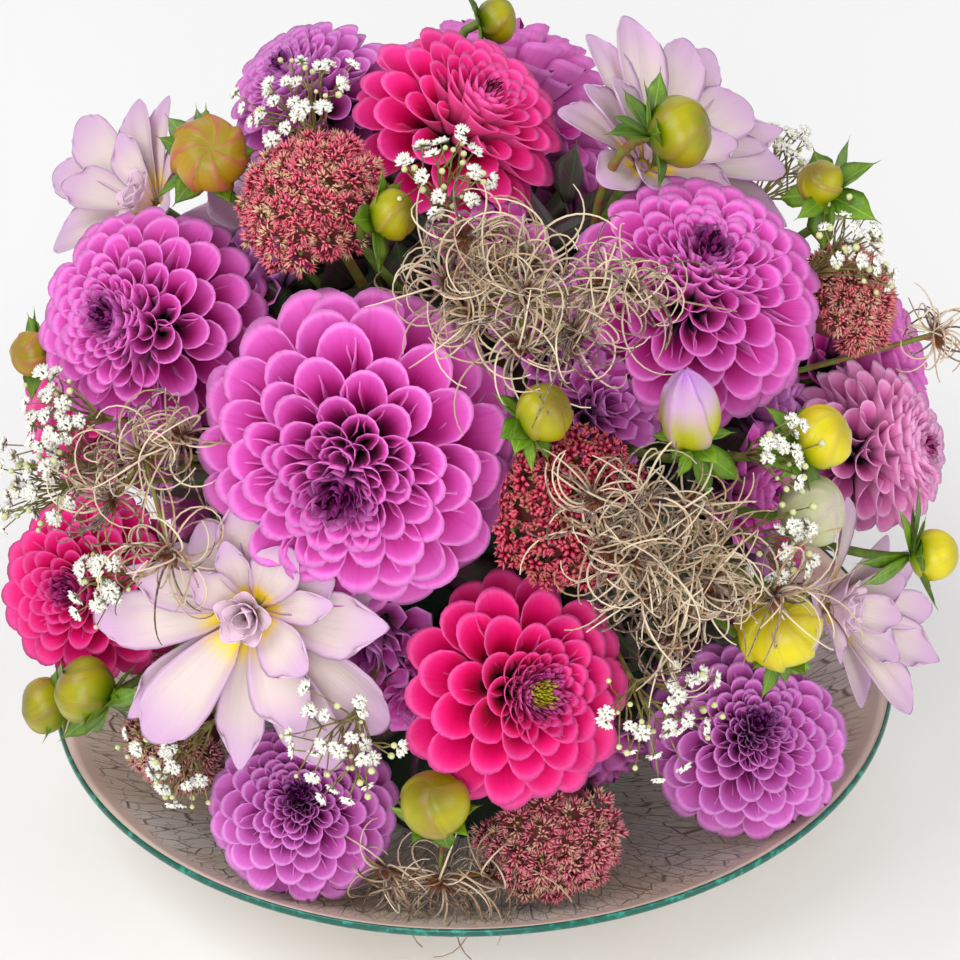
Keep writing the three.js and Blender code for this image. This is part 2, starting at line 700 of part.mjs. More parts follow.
// Every line that others must clear is laid down first, then the heads that yield to them are made.
const blooms = bloomPlan.map(([name, kind, ...rest]) => {
  const [bearing, height, reach, radius, faceBearing, faceHeight, petals, rings] = rest;
  const head = headAt(name, [bearing, height, reach], [faceBearing, faceHeight], radius);
  const behind = kind === 'waterlily' ? 0 : 0.3 * radius;
  const end = head.centre.clone().addScaledVector(head.axis, -behind);
  return { head, kind, petals, rings, stem: plantStem(head, end, bloomStemRadius) };
});
const stonecrops = stonecropPlan.map(([name, bearing, height, reach, radius]) => {
  const head = headAt(name, [bearing, height, reach], [bearing, height], radius);
  return { head, stem: plantStem(head, head.centre, stonecropStemRadius) };
});
roundHeads.push(...blooms.map((bloom) => bloom.head), ...stonecrops.map((dome) => dome.head));
budPlan.forEach(makeBud);
breathPlan.forEach(makeBreath);
clematisPlan.forEach(makeClematis);
blooms.forEach(makeBloom);
stonecrops.forEach(makeStonecrop);
addPart('glass_dish', 'glass', makeDish());
addPart('floral_foam', 'foam', makeFoam());

// Where two pieces still touch, the one that comes later in this order gives way by the gap.
const givesWay = ['glass', 'bud', 'breath', 'clematis', 'ball', 'formal', 'waterlily', 'stonecrop', 'foam'];

function grown(solid, by) {
  const moves = [[by, 0, 0], [-by, 0, 0], [0, by, 0], [0, -by, 0], [0, 0, by], [0, 0, -by]];
  return moves.reduce((all, move) => all.add(solid.translate(move)), solid);
}

const ordered = [...parts].sort((p, q) => givesWay.indexOf(p[1].kind) - givesWay.indexOf(q[1].kind));
ordered.forEach(([, firm], i) => {
  for (const [name, soft] of ordered.slice(i + 1)) {
    const common = firm.solid.intersect(soft.solid);
    if (common.volume() < 1e-3) continue;
    const box = common.boundingBox();
    const size = box.max.map((high, k) => high - box.min[k] + 8 * gap);
    const middle = box.max.map((high, k) => (high + box.min[k]) / 2);
    const around = new THREE.BoxGeometry(...size).translate(...middle);
    const cutter = grown(firm.solid.intersect(toSolid(bare(around))), gap);
    soft.solid = largestBody(soft.solid.subtract(cutter));
  }
});

const centrepiece = new THREE.Group();
for (const [name, { kind, solid }] of parts) {
  const material = new THREE.MeshStandardMaterial({ ...colours[kind], flatShading: true });
  const mesh = new THREE.Mesh(toGeometry(solid), material);
  mesh.name = name;
  centrepiece.add(mesh);
}

export default centrepiece;
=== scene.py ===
import math
import random

import bpy
import numpy as np
from mathutils import Matrix, Vector


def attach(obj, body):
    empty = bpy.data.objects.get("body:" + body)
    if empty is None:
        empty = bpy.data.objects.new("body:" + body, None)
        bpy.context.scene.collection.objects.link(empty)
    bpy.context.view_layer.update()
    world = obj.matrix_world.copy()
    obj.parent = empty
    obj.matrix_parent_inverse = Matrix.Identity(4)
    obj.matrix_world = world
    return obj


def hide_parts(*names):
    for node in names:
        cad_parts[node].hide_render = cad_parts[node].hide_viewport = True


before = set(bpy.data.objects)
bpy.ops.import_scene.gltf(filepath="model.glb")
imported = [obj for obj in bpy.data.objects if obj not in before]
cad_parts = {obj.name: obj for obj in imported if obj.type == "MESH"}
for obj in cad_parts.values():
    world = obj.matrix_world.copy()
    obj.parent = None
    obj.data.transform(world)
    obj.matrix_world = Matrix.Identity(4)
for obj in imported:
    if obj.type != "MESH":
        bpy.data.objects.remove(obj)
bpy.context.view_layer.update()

mm = 0.001
goldenTurn = math.pi * (3 - math.sqrt(5))
upward = Vector((0, 0, 1))

# the ball of flowers and the dish it stands in, in millimetres
ball = {'centreHeight': 132, 'plantedFrom': 66, 'plantedTo': 96, 'bend': 0.3, 'stemPoints': 7}
ballCentre = Vector((0, 0, ball['centreHeight'] * mm))
dish = {'rimRadius': 149, 'height': 45, 'glass': 4.5, 'footRadius': 56, 'middle': 0.4, 'wallStart': 0.62,
        'lean': 0.4, 'edge': 2.3, 'ringOut': 0.6, 'ringDrop': 1.0, 'ringSize': (0.8, 1.5)}

# camera, fitted to the photograph's rim ellipse and blooms
view = {'distance': 1.25, 'elevation': 31.95, 'roll': -1.675, 'lens': 134.9, 'shift': (0.0134, -0.021)}


def makeCamera():
    data = bpy.data.cameras.new('viewCamera')
    camera = bpy.data.objects.new('viewCamera', data)
    bpy.context.scene.collection.objects.link(camera)
    lift = math.radians(view['elevation'])
    out = Vector((0, -math.cos(lift), math.sin(lift)))
    camera.location = ballCentre + out * view['distance']
    turn = out.to_track_quat('Z', 'Y').to_matrix()
    camera.rotation_euler = (turn @ Matrix.Rotation(math.radians(view['roll']), 3, 'Z')).to_euler()
    data.lens = view['lens']
    data.shift_x, data.shift_y = view['shift']
    data.clip_end = 50
    bpy.context.scene.camera = camera


makeCamera()
print('camera placed')


# places on the ball, from a bearing and a height in degrees and a reach in millimetres
def wayTo(bearing, height):
    b, h = math.radians(bearing), math.radians(height)
    return Vector((math.sin(b) * math.cos(h), -math.cos(b) * math.cos(h), math.sin(h)))


def placeAt(bearing, height, reach):
    return ballCentre + wayTo(bearing, height) * (reach * mm)


def sideways(axis):
    start = Vector((1, 0, 0)) if abs(axis.z) > 0.9 else upward
    a = start.cross(axis).normalized()
    return a, axis.cross(a).normalized()


# a way between two that stand square to each other
def between(a, b, turn):
    return a * math.cos(turn) + b * math.sin(turn)


def anyWay(chance, size=1):
    return Vector([chance.uniform(-1, 1) * size for _ in range(3)])


# colours are written as they look and turned into the linear values that shaders use
def tint(code):
    parts = [int(code[i:i + 2], 16) / 255 for i in (0, 2, 4)]
    return [c / 12.92 if c <= 0.04045 else ((c + 0.055) / 1.055) ** 2.4 for c in parts] + [1]


# a node tree, with each new node's settings and inputs given in one line
class Sheet:
    def __init__(self, tree):
        self.tree = tree

    def add(self, kind, inputs=(), **settings):
        node = self.tree.nodes.new(kind)
        for key, value in settings.items():
            setattr(node, key, value)
        for key, value in dict(inputs).items():
            self.put(node.inputs[key], value)
        return node

    def put(self, socket, value):
        if isinstance(value, bpy.types.NodeSocket):
            self.tree.links.new(value, socket)
        else:
            isCode = socket.type == 'RGBA' and isinstance(value, str)
            socket.default_value = tint(value) if isCode else value


# small helpers for material nodes
class NodeSheet(Sheet):
    def __init__(self, name):
        self.material = bpy.data.materials.new(name)
        self.material.use_nodes = True
        super().__init__(self.material.node_tree)
        self.surface = self.tree.nodes['Principled BSDF']

    def attributes(self, *names):
        return [self.add('ShaderNodeAttribute', attribute_name=name).outputs['Fac'] for name in names]

    def math(self, operation, a, b=0.0):
        return self.add('ShaderNodeMath', {0: a, 1: b}, operation=operation).outputs[0]

    def times(self, a, b):
        return self.math('MULTIPLY', a, b)

    def mix(self, factor, a, b):
        return self.add('ShaderNodeMix', {'Factor': factor, 6: a, 7: b}, data_type='RGBA').outputs[2]

    def ease(self, value, low, high, toLow=0.0, toHigh=1.0):
        inputs = {'Value': value, 'From Min': low, 'From Max': high, 'To Min': toLow, 'To Max': toHigh}
        return self.add('ShaderNodeMapRange', inputs, interpolation_type='SMOOTHSTEP').outputs[0]

    def noise(self, where, scale, detail=2.0, output='Fac'):
        inputs = {'Vector': where, 'Scale': scale, 'Detail': detail}
        return self.add('ShaderNodeTexNoise', inputs).outputs[output]

    def onObject(self):
        return self.add('ShaderNodeTexCoord').outputs['Object']

    def vector(self, parts):
        return self.add('ShaderNodeCombineXYZ', dict(enumerate(parts))).outputs[0]

    # streaks along a petal, which differ on each one
    def streaks(self, across, along, shade, counts):
        return self.noise(self.vector(map(self.times, (across, along, shade), counts)), 1.0, 3.0)

    # lighter or darker by the number that each petal or leaf drew
    def uneven(self, colour, shade, low, high):
        value = self.ease(shade, 0.0, 1.0, low, high)
        return self.add('ShaderNodeHueSaturation', {'Value': value, 'Color': colour}).outputs[0]

    def bump(self, height, strength, distance):
        inputs = {'Strength': strength, 'Distance': distance, 'Height': height}
        self.put(self.surface.inputs['Normal'], self.add('ShaderNodeBump', inputs).outputs[0])

    def finish(self, colour, roughness, **sockets):
        for key, value in {'Base Color': colour, 'Roughness': roughness, **sockets}.items():
            self.put(self.surface.inputs[key.replace('_', ' ')], value)
        return self.material


# petals: dark at the throat, partly their own colour and partly painted shade for the deep gaps between them;
# full in the middle, a thin pale lip, and fine streaks along them
petalSkin = {'flushFrom': (0.62, 1.0), 'backFrom': (0.3, 0.7), 'heartEnds': (0.08, 0.15, 1.0, 0.0),
             'streakCounts': (9.0, 1.6, 40.0), 'streakEnds': (0.5, 0.72, 0.0), 'relief': (0.25, 0.0006)}


def petalFinish(name, spec):
    m = NodeSheet(name)
    along, across, inside, ring, shade = m.attributes('along', 'across', 'inside', 'ring', 'shade')
    # the throat colour darkens each petal's deep part: on the dahlias it is partly their own colour and
    # partly painted shade of the gaps between petals; the white lilies' yellow throat is their own colour
    colour = m.mix(m.ease(along, *spec['throatEnds']), spec['throat'], spec['body'])
    colour = m.mix(m.ease(along, *petalSkin['flushFrom']), colour, spec['flush'])
    lip = m.ease(along, *spec['lipFrom'])
    edge = m.math('MAXIMUM', lip, m.ease(m.math('ABSOLUTE', across), *spec['sideFrom']))
    colour = m.mix(m.times(edge, spec['lipShare']), colour, spec['lip'])
    isBack = m.math('SUBTRACT', 1.0, m.ease(inside, *petalSkin['backFrom']))
    colour = m.mix(isBack, colour, spec['back'])
    # the eye colour at the middle of each bloom; on the white lilies it is paler than the petals, partly
    # painted light that lifts their shaded heart
    colour = m.mix(m.ease(ring, *spec['eyeEnds'], 1.0, 0.0), colour, spec['eye'])
    if 'heart' in spec:
        colour = m.mix(m.ease(ring, *petalSkin['heartEnds']), colour, spec['heart'])
    streak = m.streaks(across, along, shade, petalSkin['streakCounts'])
    colour = m.mix(m.ease(streak, *petalSkin['streakEnds'], spec['streaks']), colour, spec['streak'])
    m.bump(streak, *petalSkin['relief'])
    colour = m.uneven(colour, shade, 1 - spec['unevenness'], 1 + spec['unevenness'])
    return m.finish(colour, spec['rough'], Specular_IOR_Level=0.2, Sheen_Weight=spec['sheen'],
                    Sheen_Roughness=0.4)


orchidPetal = dict(
    throat='c41c90', body='e040aa', flush='e468ca', lip='f4b0ea', back='e880d2', eye='84146c',
    streak='b82a98', throatEnds=(0.3, 0.92), lipFrom=(0.9, 1.0), sideFrom=(0.86, 1.0),
    lipShare=0.35, eyeEnds=(0.05, 0.15), streaks=0.2, unevenness=0.06, rough=0.5, sheen=0.05,
)
petalFinishes = dict(
    orchid=orchidPetal,
    violet=dict(orchidPetal, throat='b02c8c', body='d85cb8', flush='d878cc', lip='ecb4ea',
               back='d88cd4', eye='7a1c74', streak='b03c9c'),
    palePink=dict(orchidPetal, throat='d060a8', body='f088cc', flush='f4a4d8', lip='f8d0ec',
                 back='f0a8d8', eye='b8408c', streak='d868b0'),
    hotPink=dict(orchidPetal, throat='c0004c', body='fa1488', flush='f43c9c', lip='f888c4',
                back='f060b0', eye='840848', streak='d00c68', eyeEnds=(0.03, 0.1)),
    crimson=dict(orchidPetal, throat='cc0050', body='f60a78', flush='f02484', lip='e070b4',
                back='e060b0', eye='a02474', streak='cc005c', eyeEnds=(0.05, 0.2),
                sideFrom=(0.7, 1.0), lipFrom=(0.84, 1.0), lipShare=0.4),
    # the white lilies' eye colour is their own pinkish white, made paler than the body as painted light on
    # the shaded heart
    white=dict(orchidPetal, throat='f4d808', body='d8c8c2', flush='d4bcca', lip='c490c8',
              back='d4b4ce', eye='f8dce8', streak='d4b0cc', throatEnds=(0.16, 0.36),
              lipFrom=(0.5, 1.0), sideFrom=(0.5, 1.0), lipShare=0.6, eyeEnds=(0.0, 0.1),
              streaks=0.5, unevenness=0.03, rough=0.45),
)
petalFinishes['crimsonOpen'] = dict(petalFinishes['crimson'], eye='c8489c', heart='d0c428',
                                    eyeEnds=(0.12, 0.3))
finishes = {key: petalFinish('petal_' + key, spec) for key, spec in petalFinishes.items()}

# leaves and sepals: a paler midrib and slanting side veins
veins = {'count': 9.0, 'slant': 3.0, 'side': (0.0, 0.25, 0.7, 0.0), 'midrib': (0.02, 0.1, 1.0, 0.0),
         'share': 0.5}


def leafFinish(name, body, back, vein):
    m = NodeSheet(name)
    along, across, shade = m.attributes('along', 'across', 'shade')
    width = m.math('ABSOLUTE', across)
    slant = m.math('SUBTRACT', m.times(along, veins['count']), m.times(width, veins['slant']))
    comb = m.math('ABSOLUTE', m.math('SINE', m.times(slant, math.pi)))
    net = m.math('MAXIMUM', m.ease(comb, *veins['side']), m.ease(width, *veins['midrib']))
    blotch = m.noise(m.onObject(), 160.0, 3.0)
    colour = m.mix(m.ease(blotch, 0.3, 0.7), body, back)
    colour = m.mix(m.times(net, veins['share']), colour, vein)
    m.bump(net, 0.3, 0.0005)
    return m.finish(m.uneven(colour, shade, 0.75, 1.25), 0.45, Specular_IOR_Level=0.4)


finishes['sepal'] = leafFinish('sepalGreen', '6c9018', '4c7414', '94b43c')
# the leaves deep between the stems: dark green with purple blotches, partly their own colour and partly
# painted shade for the dark gaps in the ball
finishes['darkLeaf'] = leafFinish('shadedLeaf', '36502a', '5a2c44', '56703a')


# bud skin: yellow-green below, with brownish pink flames between the wrapped petals
def budFinish(name, low, high, crown, flame, flames, ends=(0.1, 0.6)):
    m = NodeSheet(name)
    along, across, shade = m.attributes('along', 'across', 'shade')
    patch = m.noise(m.onObject(), 90.0, 3.0)
    streak = m.streaks(across, along, shade, (5.0, 1.2, 30.0))
    colour = m.mix(m.ease(along, *ends), low, high)
    colour = m.mix(m.ease(along, 0.62, 0.95), colour, crown)
    colour = m.mix(m.ease(streak, 0.48, 0.68, 0.0, flames), colour, flame)
    colour = m.mix(m.ease(across, 0.5, 1.0, 0.0, flames), colour, flame)
    colour = m.mix(m.ease(patch, 0.45, 0.75, 0.0, 0.3), colour, low)
    m.bump(streak, 0.3, 0.0005)
    return m.finish(colour, 0.32, Specular_IOR_Level=0.4)


# stems, fine branches and seeds
def stemFinish(name, body, other, rough=0.5):
    m = NodeSheet(name)
    grain = m.noise(m.onObject(), 260.0, 3.0)
    m.bump(grain, 0.2, 0.0004)
    return m.finish(m.mix(m.ease(grain, 0.35, 0.65), body, other), rough, Specular_IOR_Level=0.35)


# stonecrop florets: pointed petals from a cream green base to a red tip
def floretFinish(name, base, body, tip):
    m = NodeSheet(name)
    along, shade = m.attributes('along', 'shade')
    patch = m.noise(m.onObject(), 120.0, 2.0)
    colour = m.mix(m.ease(along, 0.3, 1.0), body, tip)
    colour = m.mix(m.times(m.ease(shade, 0.6, 0.9), 0.75), colour, base)
    colour = m.mix(m.ease(patch, 0.5, 0.7, 0.0, 0.4), colour, body)
    m.bump(patch, 0.2, 0.0004)
    return m.finish(colour, 0.5, Specular_IOR_Level=0.3)


for maker, colours in (
        (budFinish, {'budGreen': ('4a7400', 'a49c00', '746400', '94683c', 0.4),
                     'budYellow': ('84a400', 'd8c80c', 'b8a410', 'b8a044', 0.3),
                     'budOchre': ('7c7c00', 'b08818', '8c8008', 'b05c44', 0.75),
                     'budCream': ('94a860', 'bcc490', 'c4b8a8', 'b898a0', 0.4),
                     'budOpening': ('b4b414', 'cca4cc', 'a868bc', 'c890c8', 0.5, (0.5, 0.72))}),
        (stemFinish, {'stemGreen': ('6f8a34', '58702a'), 'stemRed': ('8a5a38', '6f8a34'),
                      'stonecropCore': ('7c3038', '6c4434', 0.7), 'twig': ('8c8a4c', '6c5c34'),
                      'seedBrown': ('6c3c26', '96583c', 0.6)}),
        (floretFinish, {'stonecropPink': ('e4d0a0', 'e04c70', 'f4949c'),
                        'stonecropRed': ('b07058', 'b81440', 'e87484'),
                        'stonecropRose': ('dcc09c', 'cc5470', 'f0a0a4'),
                        'stonecropSalmon': ('dcbc9c', 'd86470', 'f49c98'),
                        'stonecropGreen': ('d8cc98', 'c87480', 'e4b0a4')})):
    finishes.update({name: maker(name, *codes) for name, codes in colours.items()})


# seed plumes: brown at the knot, then silky cream and tan; the palest cream is partly painted highlight and
# the dark brown threads are painted shade
def plumeFinish():
    m = NodeSheet('seedPlume')
    along, shade = m.attributes('along', 'shade')
    # each thread's number sets its tone: tan to cream, partly its own colour and partly painted highlight,
    # and the lowest numbers dark brown as painted shade
    colour = m.mix(m.ease(shade, 0.3, 0.9), 'a07c54', 'e4d0b0')
    colour = m.mix(m.ease(shade, 0.2, 0.35, 1.0, 0.0), colour, '583a28')
    colour = m.mix(m.ease(along, 0.04, 0.28, 1.0, 0.0), colour, '64301f')
    silk = m.noise(m.onObject(), 700.0, 2.0)
    colour = m.mix(m.ease(silk, 0.4, 0.7, 0.0, 0.3), colour, 'e0d0b8')
    m.bump(silk, 0.2, 0.0002)
    return m.finish(colour, 0.55, Sheen_Weight=0.4, Sheen_Roughness=0.3)


def breathFinish():
    m = NodeSheet('breathWhite')
    colour = m.mix(m.ease(*m.attributes('along'), 0.1, 0.6), 'c8cc90', 'fbfaf2')
    ruffle = m.noise(m.onObject(), 900.0, 2.0)
    colour = m.mix(m.ease(ruffle, 0.3, 0.6, 0.35, 0.0), colour, 'e2e0c8')
    m.bump(ruffle, 0.3, 0.0003)
    return m.finish(colour, 0.6, Specular_IOR_Level=0.2)


finishes['seedPlume'] = plumeFinish()
finishes['breathWhite'] = breathFinish()
print('materials made')


# meshes from numbers
def meshFrom(name, points, faces, values=None):
    mesh = bpy.data.meshes.new(name)
    mesh.from_pydata([tuple(p) for p in points], [], [tuple(int(k) for k in f) for f in faces])
    for key, numbers in (values or {}).items():
        mesh.attributes.new(key, 'FLOAT', 'POINT').data.foreach_set('value', np.asarray(numbers, np.float32))
    mesh.shade_smooth()
    return mesh


# a thin closed petal or leaf: two sheets that meet all round the rim
def closedSheet(name, middle, across, along, thickness):
    rows, columns = middle.shape[:2]
    normal = np.cross(np.gradient(middle, axis=0), np.gradient(middle, axis=1))
    normal /= np.linalg.norm(normal, axis=2, keepdims=True) + 1e-12
    j, i = np.mgrid[0:rows, 0:columns]
    inner = ((j > 0) & (j < rows - 1) & (i > 0) & (i < columns - 1)).ravel()
    flat, push = middle.reshape(-1, 3), normal.reshape(-1, 3) * (thickness / 2)
    front = flat + push * inner[:, None]
    points = np.vstack([front, (flat - push)[inner]])
    behind = np.arange(rows * columns)
    behind[inner] = rows * columns + np.arange(inner.sum())
    a = (j * columns + i)[:-1, :-1].ravel()
    quads = np.stack([a, a + columns, a + columns + 1, a + 1], axis=1)
    faces = np.vstack([quads, behind[quads][:, ::-1]])
    spread = lambda grid: np.concatenate([grid.ravel(), grid.ravel()[inner]])
    inside = np.concatenate([np.where(inner, 1.0, 0.6), np.zeros(inner.sum())])
    return meshFrom(name, points, faces, {'along': spread(along), 'across': spread(across), 'inside': inside})


# petal forms of unit width and length: +Z runs to the tip and +Y faces the middle of the bloom
def petalForm(name, form, columns=8, steps=(0, 0.3, 0.52, 0.7, 0.84, 0.94, 1)):
    u, v = np.meshgrid(np.linspace(-1, 1, columns + 1), np.array(steps))
    s = v * (1 - form['round'] * np.abs(u) ** form['point'] * v ** 2)
    roll = np.interp(s, form['rollAt'], form['roll'])
    half = np.interp(v + (s - v) * form['cone'], form['widthAt'], form['width']) * form['fullness']
    radius = half / roll
    turn = u * roll
    x = radius * np.sin(turn)
    y = radius * (1 - np.cos(turn)) - form['bend'] * np.clip(s - form['bendFrom'], 0, 1) ** 2
    y = y + (form['crease'] * (1 - np.abs(u)) + form['arch'] + form['pleat'] * np.cos(u * 7)) * s * (1 - s)
    x = x + form['twist'] * np.sin(s * 3) * 0.1
    return closedSheet(name, np.stack([x, y, s], axis=2), u, v, form['thick'])


plainForm = dict(
    round=0.45, point=2.2, rollAt=(0, 0.5, 0.8, 1), roll=(2.9, 2.6, 2.0, 1.6),
    widthAt=(0, 0.3, 0.64, 0.85, 1), width=(0.12, 0.34, 0.76, 1.0, 1.0), fullness=1.0, cone=1.0,
    bend=0.25, bendFrom=0.6, crease=0.0, arch=0.0, pleat=0.0, twist=0.0, thick=0.03,
)
quillForms = [
    dict(plainForm, roll=(2.8, 2.8, 2.7, 2.5), fullness=1.25, bend=-0.3, round=0.2),
    dict(plainForm, roll=(2.9, 2.8, 2.6, 2.4), fullness=1.2, bend=-0.1, round=0.3, point=2.4),
    dict(plainForm, roll=(2.9, 2.8, 2.5, 2.2), fullness=1.15, bend=0.05, round=0.36, point=2.4),
    dict(plainForm, roll=(2.9, 2.7, 2.3, 2.0), fullness=1.1, bend=0.15, round=0.36, point=2.2,
     twist=0.3),
    dict(plainForm, roll=(2.8, 2.4, 2.0, 1.75), fullness=1.0, bend=0.2, round=0.36, point=2.1,
     twist=-0.3),
    dict(plainForm, roll=(2.7, 2.1, 1.65, 1.4), fullness=0.88, bend=0.3, round=0.34, point=2.2),
]
openForms = [
    dict(plainForm, roll=(2.6, 2.4, 2.0, 1.7), fullness=1.0, bend=-0.35, point=1.8, round=0.4),
    dict(plainForm, roll=(2.6, 2.2, 1.8, 1.4), fullness=0.9, bend=0.0, point=1.9, round=0.4),
    dict(plainForm, roll=(2.4, 2.0, 1.6, 1.3), fullness=0.84, bend=0.2, point=2.0, round=0.38,
     twist=0.3),
    dict(plainForm, roll=(2.2, 1.8, 1.35, 1.05), fullness=0.76, bend=0.3, point=2.0, round=0.36),
]
lilyForm = dict(
    plainForm, rollAt=(0, 0.2, 0.6, 1), roll=(2.2, 0.95, 0.55, 0.6), point=2.2, round=0.13,
    widthAt=(0, 0.12, 0.3, 0.55, 0.8, 0.93, 1), width=(0.22, 0.42, 0.74, 0.98, 1.0, 0.86, 0.6),
    fullness=0.5, cone=0.0, bend=0.1, arch=0.5, pleat=0.12, thick=0.02,
)
lilyForms = [
    dict(lilyForm, roll=(2.4, 2.1, 1.9, 1.8), fullness=0.9, bend=-0.5, bendFrom=0.3, arch=-0.3),
    dict(lilyForm, roll=(2.2, 1.4, 1.1, 0.9), fullness=0.6, bend=-0.1, arch=-0.3),
    dict(lilyForm, bend=0.4),
    dict(lilyForm, point=1.5, round=0.24, bend=0.3, crease=-0.25),
    dict(lilyForm, point=1.8, round=0.2, roll=(2.2, 1.3, 0.9, 0.8), arch=0.2, fullness=0.56),
]


def formCollection(name, forms):
    collection = bpy.data.collections.new(name)
    for i, mesh in enumerate(forms):
        collection.objects.link(bpy.data.objects.new(f'{name}_{i:02d}', mesh))
    return collection


# a tree of geometry nodes, with what it is given
def newTree(name, inputs):
    sheet = Sheet(bpy.data.node_groups.new(name, 'GeometryNodeTree'))
    for key, kind in inputs.items():
        sheet.tree.interface.new_socket(key, in_out='INPUT', socket_type='NodeSocket' + kind)
    sheet.tree.interface.new_socket('Result', in_out='OUTPUT', socket_type='NodeSocketGeometry')
    return sheet, sheet.add, sheet.add('NodeGroupInput').outputs


# the end of each tree: its finish goes on and the mesh goes out
def painted(sheet, given, mesh):
    paint = sheet.add('GeometryNodeSetMaterial', {'Geometry': mesh.outputs[0], 'Material': given['Finish']})
    sheet.add('NodeGroupOutput', {0: paint.outputs[0]})
    return sheet.tree


# one tree sets any forms on points, each turned and sized by its point
def makeSpreadTree():
    sheet, add, given = newTree('setFormsOnPoints', {
        'Points': 'Geometry', 'Forms': 'Collection', 'Unevenness': 'Float', 'Seed': 'Int',
        'Finish': 'Material'})
    forms = add('GeometryNodeCollectionInfo', {'Collection': given['Forms'], 'Separate Children': True,
                                               'Reset Children': True})
    index, turn, size = [
        add('GeometryNodeInputNamedAttribute', {'Name': key}, data_type=kind).outputs['Attribute']
        for key, kind in (('formIndex', 'INT'), ('turn', 'FLOAT_VECTOR'), ('size', 'FLOAT_VECTOR'))]
    place = add('GeometryNodeInstanceOnPoints', {
        'Points': given['Points'], 'Instance': forms.outputs[0], 'Pick Instance': True,
        'Instance Index': index,
        'Rotation': add('FunctionNodeEulerToRotation', {0: turn}).outputs[0], 'Scale': size})
    low, high = [add('ShaderNodeVectorMath', {0: (side,) * 3, 'Scale': given['Unevenness']},
                     operation='SCALE').outputs[0] for side in (-1, 1)]
    wobble = add('FunctionNodeRandomValue', {'Min': low, 'Max': high, 'Seed': given['Seed']},
                 data_type='FLOAT_VECTOR')
    tip = add('GeometryNodeRotateInstances', {'Instances': place.outputs[0],
                                              'Rotation': wobble.outputs['Value']})
    return painted(sheet, given, add('GeometryNodeRealizeInstances', {0: tip.outputs[0]}))


# one tree turns lines into round stems, threads and twigs, thick as each point's radius says
def makeTubeTree():
    sheet, add, given = newTree('stemsAlongLines', {
        'Lines': 'Geometry', 'Sides': 'Int', 'Finish': 'Material'})
    share = add('GeometryNodeSplineParameter').outputs['Factor']
    lines = add('GeometryNodeStoreNamedAttribute', {
        'Name': 'along', 'Geometry': given['Lines'], 'Value': share})
    ring = add('GeometryNodeCurvePrimitiveCircle', {'Radius': 1.0, 'Resolution': given['Sides']})
    thick = add('GeometryNodeInputRadius').outputs[0]
    tube = add('GeometryNodeCurveToMesh', {'Curve': lines.outputs[0], 'Profile Curve': ring.outputs[0],
                                           'Scale': thick, 'Fill Caps': True})
    return painted(sheet, given, add('GeometryNodeSetShadeSmooth', {'Geometry': tube.outputs[0]}))


spreadTree, tubeTree = makeSpreadTree(), makeTubeTree()


# runs a tree on a carrier and keeps the plain mesh that comes out
def grown(data, tree, **inputs):
    carrier = bpy.data.objects.new('carrier', data)
    bpy.context.scene.collection.objects.link(carrier)
    modifier = carrier.modifiers.new('grow', 'NODES')
    modifier.node_group = tree
    for item in tree.interface.items_tree:
        if item.in_out == 'INPUT' and item.name in inputs:
            modifier[item.identifier] = inputs[item.name]
    bpy.context.view_layer.update()
    mesh = bpy.data.meshes.new_from_object(carrier.evaluated_get(bpy.context.evaluated_depsgraph_get()))
    bpy.data.objects.remove(carrier)
    return mesh


# a place is a point, its three axes, its sizes along them, the number of its form, and its ring
def setOut(places, forms, finish, unevenness, seed):
    points, axes, sizes, numbers, rings = zip(*places)
    mesh = bpy.data.meshes.new('places')
    mesh.from_pydata([tuple(p) for p in points], [], [])
    turns = [Matrix(three).transposed().to_euler() for three in axes]
    picker = random.Random(seed)
    for key, kind, field, values in (
            ('turn', 'FLOAT_VECTOR', 'vector', [c for turn in turns for c in turn]),
            ('size', 'FLOAT_VECTOR', 'vector', [c for size in sizes for c in size]),
            ('formIndex', 'INT', 'value', numbers), ('ring', 'FLOAT', 'value', rings),
            ('shade', 'FLOAT', 'value', [picker.random() for _ in points])):
        mesh.attributes.new(key, kind, 'POINT').data.foreach_set(field, values)
    return grown(mesh, spreadTree, Forms=forms, Unevenness=unevenness, Seed=seed, Finish=finish)


# lines are lists of (points, radius at the start, radius at the end)
def tubes(lines, finish, sides=6):
    data = bpy.data.curves.new('lines', 'CURVE')
    data.dimensions = '3D'
    for points, first, last in lines:
        spline = data.splines.new('POLY')
        spline.points.add(len(points) - 1)
        spline.points.foreach_set('co', [c for p in points for c in (*p, 1)])
        radii = np.linspace(first, last, len(points)) * mm
        spline.points.foreach_set('radius', radii)
    return grown(data, tubeTree, Sides=sides, Finish=finish)


# joins meshes into one finished piece that rides on the frame
def piece(name, meshes, replaces=None):
    objects = [bpy.data.objects.new(f'{name}_{i}', mesh) for i, mesh in enumerate(meshes)]
    for one in objects:
        bpy.context.scene.collection.objects.link(one)
    made = objects[0]
    if len(objects) > 1:
        with bpy.context.temp_override(active_object=made, object=made, selected_objects=objects,
                                       selected_editable_objects=objects):
            bpy.ops.object.join()
    made.name = name
    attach(made, 'root')
    if replaces:
        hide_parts(replaces)


def numbered(name, rows):
    return {f'{name}_{i + 1}': row for i, row in enumerate(rows)}


